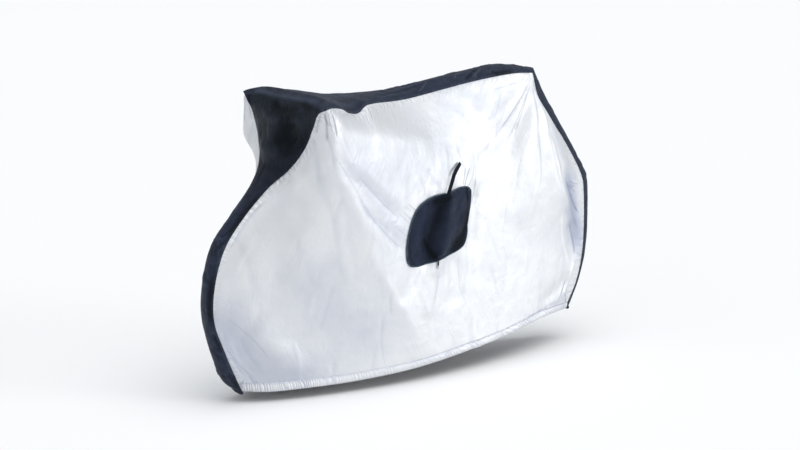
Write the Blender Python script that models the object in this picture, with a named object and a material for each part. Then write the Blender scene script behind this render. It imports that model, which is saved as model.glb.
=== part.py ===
"""A fitted bicycle cover, hanging as it does over a bicycle that is not built.

Two silver side panels are sewn to one dark centre band. The band starts at the hem in front
of the front wheel, climbs the tyre, widens to the handlebar, narrows again along the top to
the saddle, and comes down behind the rear wheel. The near panel carries a pocket with a bound
edge, a webbing strap and a pull tab.

Units are metres. X runs from the front wheel to the rear wheel, -Y is the pocket's side, Z is
up. The tables give lengths from the spot where the front wheel meets the ground and heights
above that ground. The finished part has its origin under the top, where the saddle holds it.
"""

import math
from collections import namedtuple

import bmesh
import bpy
import numpy as np
from mathutils import Vector
from mathutils.bvhtree import BVHTree

# ---------------------------------------------------------------- driving dimensions

CLOTH_THICKNESS = 0.0016
SEAM_GAP = 0.0005
SADDLE_X = 1.03
SADDLE_HEIGHT = 1.156

PANEL_COLUMNS = 40
PANEL_ROWS = 30
BAND_STRIPS = 8
FINE = 4

# ---------------------------------------------------------------- tables of the cut and the drape

# One row for each place where the band changes direction or width. "ridge" is the band's middle
# line, "seam" is where it meets a side panel, half_width is the seam's distance from the middle
# plane. roundness goes from 0, pulled straight, to 1, wrapped round a tyre or a saddle. Where it
# is pulled straight, bluntness 2 is an even arch and 4 is flat on top with dropping ends.
Station = namedtuple("Station", "place ridge_x ridge_z seam_x seam_z half_width roundness bluntness")

FRONT_RUN = [
    Station("front hem", -0.186, 0.024, -0.203, 0.046, 0.040, 1.0, 2.0),
    Station("under tyre", -0.257, 0.083, -0.226, 0.093, 0.042, 1.0, 2.0),
    Station("low tyre", -0.301, 0.188, -0.272, 0.200, 0.042, 1.0, 2.0),
    Station("hub height", -0.334, 0.327, -0.316, 0.327, 0.041, 1.0, 2.0),
    Station("tyre front", -0.333, 0.441, -0.310, 0.440, 0.040, 1.0, 2.0),
    Station("tyre shoulder", -0.292, 0.597, -0.262, 0.588, 0.040, 1.0, 2.0),
    Station("tyre top", -0.206, 0.698, -0.179, 0.690, 0.041, 1.0, 2.0),
    Station("neck", -0.111, 0.797, -0.082, 0.794, 0.054, 1.0, 2.0),
    Station("throat", -0.061, 0.872, -0.030, 0.858, 0.094, 0.8, 2.0),
    Station("flare", -0.036, 0.950, 0.006, 0.950, 0.160, 0.3, 2.0),
    Station("levers", -0.012, 1.030, 0.013, 1.028, 0.203, 0.1, 2.2),
    Station("under grip", 0.010, 1.078, 0.008, 1.076, 0.236, 0.0, 2.8),
    Station("handlebar", 0.035, 1.143, 0.020, 1.105, 0.283, 0.0, 3.6),
]
TOP_RUN = [
    FRONT_RUN[-1],
    Station("behind handlebar", 0.100, 1.139, 0.082, 1.098, 0.240, 0.1, 2.6),
    Station("droop start", 0.165, 1.124, 0.163, 1.074, 0.200, 0.3, 2.2),
    Station("droop", 0.240, 1.111, 0.246, 1.058, 0.158, 0.6, 2.0),
    Station("droop end", 0.290, 1.105, 0.292, 1.078, 0.136, 0.7, 2.0),
    Station("top tube front", 0.350, 1.102, 0.345, 1.079, 0.112, 0.8, 2.0),
    Station("top tube", 0.531, 1.110, 0.525, 1.074, 0.066, 1.0, 2.0),
    Station("saddle nose", 0.860, 1.151, 0.858, 1.112, 0.058, 1.0, 2.0),
    Station("saddle", 1.050, 1.161, 1.045, 1.121, 0.068, 0.9, 2.0),
    Station("saddle back", 1.175, 1.137, 1.148, 1.112, 0.058, 0.9, 2.0),
]
REAR_RUN = [
    TOP_RUN[-1],
    Station("below saddle", 1.258, 1.005, 1.204, 1.005, 0.056, 1.0, 2.0),
    Station("rear slope", 1.375, 0.832, 1.329, 0.832, 0.046, 1.0, 2.0),
    Station("rack end", 1.473, 0.682, 1.430, 0.674, 0.040, 1.0, 2.0),
    Station("lamp", 1.485, 0.617, 1.442, 0.617, 0.039, 1.0, 2.0),
    Station("tyre back", 1.477, 0.370, 1.439, 0.370, 0.038, 1.0, 2.0),
    Station("low rear tyre", 1.441, 0.235, 1.409, 0.240, 0.038, 1.0, 2.0),
    Station("rear hem", 1.386, 0.117, 1.352, 0.140, 0.036, 1.0, 2.0),
]

# The elastic hem of a side panel, from the front corner to the rear corner.
HemPoint = namedtuple("HemPoint", "place x z half_width")
HEM = [
    HemPoint("behind front band", -0.120, 0.040, 0.084),
    HemPoint("front wheel", 0.030, 0.040, 0.128),
    HemPoint("down tube", 0.230, 0.042, 0.164),
    HemPoint("cranks", 0.480, 0.053, 0.184),
    HemPoint("chain stay", 0.740, 0.077, 0.174),
    HemPoint("rear wheel", 0.960, 0.100, 0.146),
    HemPoint("rear tyre", 1.170, 0.137, 0.104),
]

# What holds a side panel out from inside: straight edges, each with a half width at its ends
# and the radius over which the cloth bends there. Sides: N near, F far.
Support = namedtuple("Support", "place sides x0 z0 out0 x1 z1 out1 radius")
SUPPORTS = [
    Support("near grip", "N", 0.050, 1.085, 0.280, 0.045, 1.000, 0.286, 0.060),
    Support("far grip", "F", 0.045, 1.085, 0.318, 0.040, 1.010, 0.342, 0.050),
    Support("far brake lever", "F", 0.040, 1.010, 0.342, 0.040, 0.955, 0.352, 0.050),
    Support("grip to crank", "NF", 0.035, 0.990, 0.284, 0.560, 0.060, 0.190, 0.060),
    Support("grip to chain stay", "NF", 0.040, 1.000, 0.282, 0.740, 0.420, 0.158, 0.050),
    Support("grip to saddle", "NF", 0.050, 1.020, 0.278, 0.520, 0.900, 0.172, 0.040),
    Support("saddle to rear wheel", "NF", 1.158, 1.070, 0.070, 1.290, 0.740, 0.098, 0.010),
    Support("rear wheel", "NF", 1.290, 0.740, 0.098, 1.405, 0.470, 0.052, 0.010),
]

# Folds of a side panel, as seen from its outside: where the crease starts and ends, how wide
# it is to either side, and its height, which is negative for a trough. Sides: N near, F far.
Fold = namedtuple("Fold", "place sides x0 z0 x1 z1 spread height")
FOLDS = [
    Fold("pocket ridge", "N", 0.650, 0.780, 0.560, 0.420, 0.042, 0.020),
    Fold("pocket hollow", "N", 0.575, 0.720, 0.500, 0.450, 0.040, -0.009),
    Fold("pocket rear hollow", "N", 0.800, 0.740, 0.760, 0.470, 0.035, -0.010),
    Fold("under pocket ridge", "N", 0.560, 0.450, 0.530, 0.250, 0.035, 0.007),
    Fold("under pocket hollow", "N", 0.660, 0.480, 0.690, 0.270, 0.040, -0.009),
    Fold("before pocket hollow", "N", 0.470, 0.470, 0.400, 0.320, 0.035, -0.006),
    Fold("bar crease low", "NF", 0.060, 0.930, 0.420, 0.520, 0.028, -0.009),
    Fold("bar crease high", "NF", 0.170, 0.850, 0.400, 0.640, 0.026, -0.007),
    Fold("bar drop", "N", 0.020, 0.900, -0.020, 0.420, 0.070, 0.010),
    Fold("under far lever", "F", 0.040, 0.905, -0.080, 0.740, 0.060, -0.036),
    Fold("bar drop hollow", "NF", -0.060, 0.780, -0.120, 0.330, 0.050, -0.007),
    Fold("saddle pull", "NF", 1.120, 1.075, 0.840, 0.830, 0.040, 0.009),
    Fold("saddle crease", "NF", 1.125, 1.095, 0.764, 0.798, 0.024, -0.007),
    Fold("saddle crease low", "NF", 1.120, 1.060, 0.960, 0.780, 0.030, -0.009),
    Fold("saddle drop", "NF", 1.110, 1.000, 1.020, 0.520, 0.060, 0.008),
    Fold("rear facet", "NF", 1.283, 0.730, 1.413, 0.516, 0.030, -0.010),
    Fold("rear tyre hollow", "NF", 1.340, 0.500, 1.395, 0.330, 0.035, -0.009),
    Fold("rear corner", "NF", 1.360, 0.260, 1.180, 0.180, 0.036, -0.009),
    Fold("front shoulder", "NF", -0.130, 0.730, -0.275, 0.540, 0.022, -0.006),
    Fold("front heel", "NF", -0.290, 0.310, -0.160, 0.075, 0.026, -0.009),
    Fold("front heel ridge", "NF", -0.190, 0.300, 0.000, 0.100, 0.050, 0.010),
    Fold("far chain side", "F", 0.760, 0.900, 0.600, 0.300, 0.080, 0.012),
    Fold("far hollow", "F", 0.520, 0.860, 0.420, 0.340, 0.060, -0.010),
]
BILLOW = 0.030
SOFTENING = 16
HEM_WAVES = 46
HEM_WAVE_DEPTH = 0.006
HEM_WAVE_REACH = 0.10

# The pocket on the near panel: its middle, half its width along its tilted top edge, half its
# height along its leaning sides, and how square its corners are (2 is an ellipse).
POCKET_X, POCKET_Z = 0.594, 0.595
POCKET_HALF_WIDTH, POCKET_TILT = 0.165, math.radians(9.0)
POCKET_HALF_HEIGHT, POCKET_LEAN = 0.124, math.radians(8.0)
POCKET_SQUARENESS = 3.8
POCKET_CELLS = 14
PIPING_RADIUS = 0.0028
PIPING_POINTS = 72
LAY = 0.0012

# The webbing strap from its root above the pocket to its free end: how far it stands off the
# panel and how far it is turned about its own length, in degrees.
StrapPoint = namedtuple("StrapPoint", "place x z off turn")
STRAP = [
    StrapPoint("root", 0.632, 0.732, 0.0056, 34.0),
    StrapPoint("neck", 0.648, 0.757, 0.0170, 55.0),
    StrapPoint("middle", 0.684, 0.792, 0.0180, 30.0),
    StrapPoint("free end", 0.724, 0.821, 0.0070, 4.0),
]
STRAP_HALF_WIDTH = 0.0072
STRAP_THICKNESS = 0.0018
STRAP_LENGTHS = 16

PULL_X = 0.569
PULL_LENGTH = 0.017
PULL_ROWS = 4
PULL_THICKNESS = 0.0018
PULL_HALF_WIDTH = 0.0036
PULL_END_SIZE = (0.0090, 0.0036, 0.0085)

# ---------------------------------------------------------------- curves and surfaces


def spline(points, count):
    """count + 1 points evenly spaced along a smooth curve through points."""
    points = np.asarray(points, float)
    step = np.sqrt(np.linalg.norm(np.diff(points, axis=0), axis=1))
    knots = np.concatenate([[0.0], np.cumsum(step)])
    slopes = np.gradient(points, knots, axis=0)
    dense = np.linspace(0.0, knots[-1], 40 * len(points))
    span = np.clip(np.searchsorted(knots, dense, side="right") - 1, 0, len(points) - 2)
    width = knots[span + 1] - knots[span]
    t = ((dense - knots[span]) / width)[:, None]
    width = width[:, None]
    curve = (
        (2 * t**3 - 3 * t**2 + 1) * points[span]
        + (t**3 - 2 * t**2 + t) * width * slopes[span]
        + (3 * t**2 - 2 * t**3) * points[span + 1]
        + (t**3 - t**2) * width * slopes[span + 1]
    )
    length = np.concatenate([[0.0], np.cumsum(np.linalg.norm(np.diff(curve[:, :4], axis=0), axis=1))])
    even = np.linspace(0.0, length[-1], count + 1)
    return np.stack([np.interp(even, length, column) for column in curve.T], axis=1)


def run_rows(run, count):
    """The stations of one run as count + 1 smooth rows of the table's numbers."""
    return spline([station[1:] for station in run], count)


def band_rows(fine):
    """Rows of the whole band, with the seam's corners at the handlebar and the saddle kept sharp."""
    front = run_rows(FRONT_RUN, PANEL_ROWS * fine)
    top = run_rows(TOP_RUN, PANEL_COLUMNS * fine)
    rear = run_rows(REAR_RUN, PANEL_ROWS * fine)
    return np.concatenate([front, top[1:], rear[1:]])


def band_surface(rows, strips):
    """The band's outer face: one row of points from the near seam over the ridge to the far seam."""
    across = np.linspace(-1.0, 1.0, strips + 1)[None, :]
    ridge_x, ridge_z, seam_x, seam_z, half_width, roundness, bluntness = (c[:, None] for c in rows.T)
    turn = across * math.pi / 2
    drop = roundness * (1 - np.cos(turn)) + (1 - roundness) * np.abs(across) ** bluntness
    side = roundness * np.sin(turn) + (1 - roundness) * across
    x = ridge_x + drop * (seam_x - ridge_x)
    z = ridge_z + drop * (seam_z - ridge_z)
    return np.stack([x, half_width * side, z], axis=-1)


def smooth_step(t):
    t = np.clip(t, 0.0, 1.0)
    return t * t * (3 - 2 * t)


def along_segment(x, z, x0, z0, x1, z1):
    """How far along the segment each point lies, from 0 to 1, and its distance from the line."""
    run_x, run_z = x1 - x0, z1 - z0
    length = math.hypot(run_x, run_z)
    along = ((x - x0) * run_x + (z - z0) * run_z) / length**2
    inside = np.clip(along, 0.0, 1.0)
    return along, np.hypot(x - x0 - inside * run_x, z - z0 - inside * run_z)


def doubled(values):
    """A grid with one new line of points between each two, at their means."""
    for axis in (0, 1):
        values = np.moveaxis(values, axis, 0)
        wide = np.empty((2 * len(values) - 1, values.shape[1]))
        wide[::2] = values
        wide[1::2] = (values[1:] + values[:-1]) / 2
        values = np.moveaxis(wide, 0, axis)
    return values


def held_out(x, z, side):
    """How far out the supports hold each point, at least."""
    level = np.full_like(x, -1.0)
    for rest in SUPPORTS:
        if side in rest.sides:
            along, distance = along_segment(x, z, rest.x0, rest.z0, rest.x1, rest.z1)
            top = rest.out0 + np.clip(along, 0, 1) * (rest.out1 - rest.out0)
            sag = 0.25 * distance**2 / rest.radius
            level = np.maximum(level, np.where(distance < rest.radius, top - sag, -1.0))
    return level


def stretched(x, out, z, side):
    """The film's distance from the middle plane, found on a coarse grid and then on finer ones."""
    columns, height = x.shape[0] - 1, x.shape[1] - 1
    steps = [s for s in (8, 4, 2, 1) if columns % s == 0 and height % s == 0]
    coarse = None
    for step in steps:
        grid = out[::step, ::step].copy()
        if coarse is not None:
            inside = doubled(coarse)
            grid[1:-1, 1:-1] = inside[1:-1, 1:-1]
        floor = held_out(x[::step, ::step], z[::step, ::step], side)
        push = BILLOW * 2.0 * step**2 / (columns * height)
        for _ in range(1200 if coarse is None else 300):
            mean = (grid[:-2, 1:-1] + grid[2:, 1:-1] + grid[1:-1, :-2] + grid[1:-1, 2:]) / 4
            grid[1:-1, 1:-1] = np.maximum(mean + push, floor[1:-1, 1:-1])
        coarse = grid
    for _ in range(SOFTENING):
        mean = (coarse[:-2, 1:-1] + coarse[2:, 1:-1] + coarse[1:-1, :-2] + coarse[1:-1, 2:]) / 4
        coarse[1:-1, 1:-1] = mean
    return coarse


def panel_surface(fine, side):
    """The outer face of a side panel as a grid of points, front to rear and hem to top.

    The cloth is stretched between its seams and its hem like a film: every free point rests at
    the mean of its neighbours, pushed out a little by the cloth's own stiffness, and lies on
    the supports. The folds of the tables are then laid over it.
    """
    rows = band_rows(fine)
    columns, height = PANEL_COLUMNS * fine, PANEL_ROWS * fine
    seam = np.stack([rows[:, 2], rows[:, 4], rows[:, 3]], axis=1)
    front, top, rear = seam[: height + 1], seam[height : height + columns + 1], seam[height + columns :][::-1]
    hem_points = [front[0]] + [(p.x, p.half_width, p.z) for p in HEM] + [rear[0]]
    hem = spline(hem_points, columns)

    u = np.linspace(0.0, 1.0, columns + 1)[:, None, None]
    v = np.linspace(0.0, 1.0, height + 1)[None, :, None]
    flat = (
        (1 - u) * front[None] + u * rear[None] + (1 - v) * hem[:, None] + v * top[:, None]
        - (1 - u) * (1 - v) * front[0] - u * (1 - v) * rear[0] - (1 - u) * v * top[0] - u * v * top[-1]
    )
    x, z = flat[..., 0], flat[..., 2]
    out = stretched(x, flat[..., 1], z, side)

    edge_fade = smooth_step(4 * u[..., 0] * 4) * smooth_step((1 - u[..., 0]) * 16)
    edge_fade = edge_fade * smooth_step(v[..., 0] * 12) * smooth_step((1 - v[..., 0]) * 12)
    for fold in FOLDS:
        if side not in fold.sides:
            continue
        along, distance = along_segment(x, z, fold.x0, fold.z0, fold.x1, fold.z1)
        taper = smooth_step(along * 4 + 0.3) * smooth_step((1 - along) * 4 + 0.3)
        out += fold.height * np.exp(-((distance / fold.spread) ** 2)) * taper * edge_fade

    gather = np.exp(-v[..., 0] * 1.1 / HEM_WAVE_REACH)
    phase = u[..., 0] * HEM_WAVES + 0.35 * np.sin(u[..., 0] * 17.0)
    ends = 0.25 + 0.75 * np.abs(2 * u[..., 0] - 1) ** 1.5
    corner_fade = smooth_step(u[..., 0] * 30) * smooth_step((1 - u[..., 0]) * 30)
    out += HEM_WAVE_DEPTH * gather * ends * corner_fade * np.sin(math.pi * phase)

    return np.stack([x, -out if side == "N" else out, z], axis=-1)


def grid_normals(grid, outward):
    """Unit normals of a grid of points, pointing to the side that outward, 1 or -1, chooses."""
    normal = outward * np.cross(np.gradient(grid, axis=0), np.gradient(grid, axis=1))
    return normal / np.linalg.norm(normal, axis=-1, keepdims=True)


def seam_path(panel):
    """The panel's three sewn edges in the order of the band's rows."""
    return np.concatenate([panel[0], panel[1:, -1], panel[-1, -2::-1]])


def set_seam_path(panel, values):
    height, columns = panel.shape[1] - 1, panel.shape[0] - 1
    panel[0] = values[: height + 1]
    panel[:, -1] = values[height : height + columns + 1]
    panel[-1] = values[height + columns :][::-1]


def share_seam_normals(band_normal, edge, panel_normal):
    """Gives the band's edge and the panel's sewn edges one normal, so that their rims lie side by side."""
    both = band_normal[:, edge] + seam_path(panel_normal)
    both /= np.linalg.norm(both, axis=1, keepdims=True)
    band_normal[:, edge] = both
    set_seam_path(panel_normal, both)


def open_seam(panel):
    """Draws the panel's sewn edges back from the band by the seam's gap."""
    inner = panel[1:-1, 1:-1]
    nearest = np.pad(inner, ((1, 1), (1, 1), (0, 0)), mode="edge")
    back = nearest - panel
    back[:, 0] = 0
    back[0, 0], back[-1, 0] = panel[1, 0] - panel[0, 0], panel[-2, 0] - panel[-1, 0]
    back[0, 1:], back[-1, 1:] = nearest[0, 1:] - panel[0, 1:], nearest[-1, 1:] - panel[-1, 1:]
    length = np.linalg.norm(back, axis=-1, keepdims=True)
    moved = np.divide(back, length, out=np.zeros_like(back), where=length > 0)
    sewn = np.zeros(panel.shape[:2], bool)
    sewn[0], sewn[-1], sewn[:, -1] = True, True, True
    panel[sewn] += 1.3 * SEAM_GAP * moved[sewn]


# ---------------------------------------------------------------- scene, materials, pieces


def clear_scene():
    for obj in list(bpy.data.objects):
        bpy.data.objects.remove(obj, do_unlink=True)


def plain_material(name, colour, roughness, metallic=0.0):
    material = bpy.data.materials.new(name)
    material.use_nodes = True
    shader = material.node_tree.nodes["Principled BSDF"]
    shader.inputs["Base Color"].default_value = (*colour, 1.0)
    shader.inputs["Roughness"].default_value = roughness
    shader.inputs["Metallic"].default_value = metallic
    material.diffuse_color = (*colour, 1.0)
    return material


def finished(name, bm, material, home, smooth=True):
    """Puts a closed bmesh into the scene as a node of the cover."""
    bmesh.ops.recalc_face_normals(bm, faces=bm.faces)
    mesh = bpy.data.meshes.new(name)
    bm.to_mesh(mesh)
    bm.free()
    if smooth:
        mesh.shade_smooth()
        mesh.set_sharp_from_angle(angle=math.radians(50))
    obj = bpy.data.objects.new(name, mesh)
    mesh.materials.append(material)
    home["collection"].objects.link(obj)
    obj.parent = home["origin"]
    return obj


def cloth_sheet(grid, normals, thickness):
    """A closed sheet: a flat grid laid on the points, then extruded inwards by its thickness."""
    across, along = grid.shape[0] - 1, grid.shape[1] - 1
    bm = bmesh.new()
    bmesh.ops.create_grid(bm, x_segments=across, y_segments=along, size=0.5)
    place = {}
    for vert in bm.verts:
        i = round((vert.co.x + 0.5) * across)
        j = round((vert.co.y + 0.5) * along)
        place[vert] = (i, j)
        vert.co = Vector(grid[i, j])
    bmesh.ops.triangulate(bm, faces=bm.faces, quad_method="SHORT_EDGE")
    index = {vert: place[vert] for vert in bm.verts}
    tree = BVHTree.FromBMesh(bm)
    outer = {tuple(vert.co): index[vert] for vert in bm.verts}
    made = bmesh.ops.extrude_face_region(bm, geom=bm.faces[:])
    for vert in (v for v in made["geom"] if isinstance(v, bmesh.types.BMVert)):
        i, j = outer[tuple(vert.co)]
        vert.co -= Vector(normals[i, j]) * thickness
    return bm, tree


def held(tree, x, z, off=0.0):
    """The point off the near panel's outer face at x, z, and the face's outward normal."""
    spot, normal, _, _ = tree.ray_cast(Vector((x, -1.0, z)), Vector((0.0, 1.0, 0.0)))
    if normal.y > 0:
        normal = -normal
    return spot + normal * off, normal


def pocket_point(a, b):
    """x and z of the spot a half widths across and b half heights up from the pocket's middle."""
    along = a * POCKET_HALF_WIDTH
    up = b * POCKET_HALF_HEIGHT
    x = POCKET_X + along * math.cos(POCKET_TILT) + up * math.sin(POCKET_LEAN)
    z = POCKET_Z + along * math.sin(POCKET_TILT) + up * math.cos(POCKET_LEAN)
    return x, z


def rounded(a, b):
    """Draws a point of the square from -1 to 1 in to the pocket's rounded outline."""
    longest = max(abs(a), abs(b))
    if longest == 0:
        return 0.0, 0.0
    n = POCKET_SQUARENESS
    scale = longest / (abs(a) ** n + abs(b) ** n) ** (1 / n)
    return a * scale, b * scale


def laid_out(tree, x, z, reach):
    """How far out from the middle plane the panel comes near x, z, at most."""
    steps = (-reach, -reach / 2, 0.0, reach / 2, reach)
    return max(-held(tree, x + dx, z + dz)[0].y for dx in steps for dz in steps)


def pocket_sheet(tree):
    """The pocket's outer face, laid over the panel's folds, and its normals."""
    cell = POCKET_HALF_WIDTH / POCKET_CELLS
    sides = np.linspace(-1.0, 1.0, POCKET_CELLS + 1)
    grid = np.zeros((POCKET_CELLS + 1, POCKET_CELLS + 1, 3))
    for i, a in enumerate(sides):
        for j, b in enumerate(sides):
            x, z = pocket_point(*rounded(a, b))
            grid[i, j] = (x, -laid_out(tree, x, z, cell) - LAY - CLOTH_THICKNESS, z)
    return grid, grid_normals(grid, 1)


def piping_route(tree):
    """Evenly spaced points round the pocket's edge for the middle of its piping."""
    outside = PIPING_RADIUS + 0.0005
    wide = 1 + outside / POCKET_HALF_WIDTH
    high = 1 + outside / POCKET_HALF_HEIGHT
    edge = np.linspace(-1.0, 1.0, 100)[:-1]
    square = [(t, -1.0) for t in edge] + [(1.0, t) for t in edge]
    square += [(-t, 1.0) for t in edge] + [(-1.0, -t) for t in edge]
    outline = np.array([rounded(a, b) for a, b in square + square[:1]])
    outline = np.array([pocket_point(a * wide, b * high) for a, b in outline])
    length = np.concatenate([[0.0], np.cumsum(np.linalg.norm(np.diff(outline, axis=0), axis=1))])
    even = np.linspace(0.0, length[-1], PIPING_POINTS + 1)[:-1]
    route = []
    for at in even:
        x, z = (float(np.interp(at, length, column)) for column in outline.T)
        route.append((x, -laid_out(tree, x, z, 0.008) - PIPING_RADIUS - 0.0006, z))
    return route


def ring(name, route, radius, material, home):
    """A closed cord along the route."""
    curve = bpy.data.curves.new(name, "CURVE")
    curve.dimensions = "3D"
    curve.bevel_depth = radius
    curve.bevel_resolution = 2
    line = curve.splines.new("POLY")
    line.points.add(len(route) - 1)
    for point, spot in zip(line.points, route):
        point.co = (*spot, 1.0)
    line.use_cyclic_u = True
    obj = bpy.data.objects.new(name, curve)
    curve.materials.append(material)
    home["collection"].objects.link(obj)
    obj.parent = home["origin"]
    return obj


def strap_sheet(tree):
    """The strap's outer face from its root to its free end, and its normals."""
    rows = spline([(p.x, p.z, p.off, p.turn) for p in STRAP], STRAP_LENGTHS)
    middle, normal = [], []
    for x, z, off, _ in rows:
        spot, face = held(tree, x, z, off)
        middle.append(spot)
        normal.append(face)
    grid = np.zeros((3, len(rows), 3))
    normals = np.zeros_like(grid)
    mean = sum(normal, Vector()).normalized()
    for j, (_, _, _, turn) in enumerate(rows):
        along = middle[min(j + 1, len(rows) - 1)] - middle[max(j - 1, 0)]
        across = along.cross(mean).normalized()
        face = across.cross(along).normalized()
        angle = math.radians(turn)
        turned = across * math.cos(angle) + face * math.sin(angle)
        outward = face * math.cos(angle) - across * math.sin(angle)
        for i in range(3):
            grid[i, j] = middle[j] + turned * STRAP_HALF_WIDTH * (1 - i)
            normals[i, j] = outward
    return grid, normals


def pull_rows(tree, route):
    """Points down the middle of the pull tab, from the piping along the panel."""
    near = [spot for spot in route if abs(spot[0] - PULL_X) < 0.020 and spot[2] < POCKET_Z]
    near.sort()
    xs = [spot[0] for spot in near]
    piping_out = -np.interp(PULL_X, xs, [spot[1] for spot in near])
    low = min(np.interp(PULL_X + dx, xs, [spot[2] for spot in near]) for dx in (-0.0036, 0.0036))
    top = low - PIPING_RADIUS - 0.0003
    rows = []
    for j in range(PULL_ROWS + 1):
        z = top - PULL_LENGTH * j / PULL_ROWS
        out = max(piping_out, laid_out(tree, PULL_X, z, 0.006) + PULL_THICKNESS + 0.0006)
        rows.append(Vector((PULL_X, -out, z)))
    return rows


def pull_sheet(rows):
    """The pull tab's outer face and its normals."""
    grid = np.zeros((3, len(rows), 3))
    for i in range(3):
        for j, spot in enumerate(rows):
            grid[i, j] = spot + Vector(((i - 1) * PULL_HALF_WIDTH, 0.0, 0.0))
    normals = np.zeros_like(grid)
    normals[..., 1] = -1.0
    return grid, normals


def pull_end(rows, material, home):
    """The small moulded end of the pull tab."""
    bm = bmesh.new()
    bmesh.ops.create_cube(bm, size=1.0)
    bmesh.ops.scale(bm, vec=PULL_END_SIZE, verts=bm.verts)
    bmesh.ops.bevel(bm, geom=bm.edges[:], offset=0.0010, segments=2, affect="EDGES")
    below = PULL_END_SIZE[2] / 2 + 0.0004
    middle = rows[-1] + Vector((0.0, PULL_THICKNESS / 2, -below))
    bmesh.ops.translate(bm, vec=middle, verts=bm.verts)
    return finished("pull_end", bm, material, home)


def main():
    clear_scene()
    collection = bpy.data.collections.new("bicycle_cover")
    bpy.context.scene.collection.children.link(collection)
    origin = bpy.data.objects.new("saddle_rest", None)
    origin.location = (-SADDLE_X, 0.0, -SADDLE_HEIGHT)
    collection.objects.link(origin)
    home = {"collection": collection, "origin": origin}

    silver = plain_material("silver_cloth", (0.72, 0.74, 0.78), 0.45, 0.25)
    dark = plain_material("dark_cloth", (0.035, 0.040, 0.060), 0.60)
    trim = plain_material("dark_trim", (0.015, 0.017, 0.025), 0.70)
    moulded = plain_material("grey_moulding", (0.30, 0.31, 0.34), 0.40)

    rows = band_rows(1)
    band = band_surface(rows, BAND_STRIPS)
    band_normal = grid_normals(band, 1)
    near = panel_surface(FINE, "N")[::FINE, ::FINE].copy()
    far = panel_surface(FINE, "F")[::FINE, ::FINE].copy()
    near_normal, far_normal = grid_normals(near, 1), grid_normals(far, -1)
    share_seam_normals(band_normal, 0, near_normal)
    share_seam_normals(band_normal, -1, far_normal)
    open_seam(near)
    open_seam(far)

    bm, _ = cloth_sheet(band, band_normal, CLOTH_THICKNESS)
    finished("centre_band", bm, dark, home)
    bm, near_tree = cloth_sheet(near, near_normal, CLOTH_THICKNESS)
    finished("near_panel", bm, silver, home)
    bm, _ = cloth_sheet(far, far_normal, CLOTH_THICKNESS)
    finished("far_panel", bm, silver, home)

    bm, _ = cloth_sheet(*pocket_sheet(near_tree), CLOTH_THICKNESS)
    finished("pocket", bm, dark, home)
    route = piping_route(near_tree)
    ring("pocket_piping", route, PIPING_RADIUS, trim, home)
    bm, _ = cloth_sheet(*strap_sheet(near_tree), STRAP_THICKNESS)
    finished("strap", bm, trim, home)

    rows = pull_rows(near_tree, route)
    bm, _ = cloth_sheet(*pull_sheet(rows), PULL_THICKNESS)
    finished("pull_tab", bm, trim, home)
    pull_end(rows, moulded, home)


main()
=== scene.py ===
# %% [markdown]
# # A fitted bicycle cover
#
# The cover is two silver side panels sewn to one long dark band. A bicycle holds it up from
# inside, but only the cloth is modelled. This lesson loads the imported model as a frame, works
# out nearly the same cloth surfaces again at a finer pitch, and gives them the creases, gathers,
# stitches and weave that a real cover has.
#
# All lengths are in metres. X runs from the front wheel to the rear wheel, -Y is the side with
# the pocket, and Z is up.

# %% Load the frame
import math
from collections import namedtuple
from functools import partial

import bmesh
import bpy
import numpy as np
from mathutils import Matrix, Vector, noise
from mathutils.bvhtree import BVHTree


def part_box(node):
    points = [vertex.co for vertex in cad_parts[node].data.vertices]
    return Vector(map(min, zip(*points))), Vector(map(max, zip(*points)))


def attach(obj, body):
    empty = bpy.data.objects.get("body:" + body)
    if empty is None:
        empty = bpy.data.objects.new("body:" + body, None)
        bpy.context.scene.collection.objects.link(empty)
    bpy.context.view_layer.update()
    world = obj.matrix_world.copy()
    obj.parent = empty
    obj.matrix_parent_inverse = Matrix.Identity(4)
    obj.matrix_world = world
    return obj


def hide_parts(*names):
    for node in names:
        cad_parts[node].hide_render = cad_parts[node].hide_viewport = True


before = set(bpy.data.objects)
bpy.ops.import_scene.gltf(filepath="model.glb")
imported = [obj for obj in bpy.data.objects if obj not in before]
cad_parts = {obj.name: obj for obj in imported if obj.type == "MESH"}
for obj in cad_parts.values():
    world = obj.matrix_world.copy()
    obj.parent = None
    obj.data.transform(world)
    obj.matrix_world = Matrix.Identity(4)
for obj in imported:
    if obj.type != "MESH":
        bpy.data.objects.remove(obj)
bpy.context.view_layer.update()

print("nodes in the frame:", ", ".join(sorted(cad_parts)))

# %% [markdown]
# ## Camera, light and floor
#
# A long lens keeps the cover's upright lines nearly upright. Three broad suns act as big soft lamps: a low
# key to the right, whose sheen falls on cloth that faces the front, a top light for the floor and
# the upper faces, and a weak fill from the left. A pale sky lifts the shadows. The floor is plain.

# %% Camera
LENS_MM = 92.02
CAMERA_PLACE = (-4.992, -6.270, 1.066)
CAMERA_YAW = 0.6231
CAMERA_PITCH = 0.2096
CAMERA_SHIFT = -0.00198

camera = bpy.data.objects.new("camera", bpy.data.cameras.new("camera"))
bpy.context.scene.collection.objects.link(camera)
camera.location = CAMERA_PLACE
camera.rotation_euler = (math.pi / 2 - CAMERA_PITCH, 0.0, -CAMERA_YAW)
camera.data.lens = LENS_MM
camera.data.shift_y = CAMERA_SHIFT
bpy.context.scene.camera = camera
print("camera looks", round(math.degrees(CAMERA_YAW)), "degrees round from the side")

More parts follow.
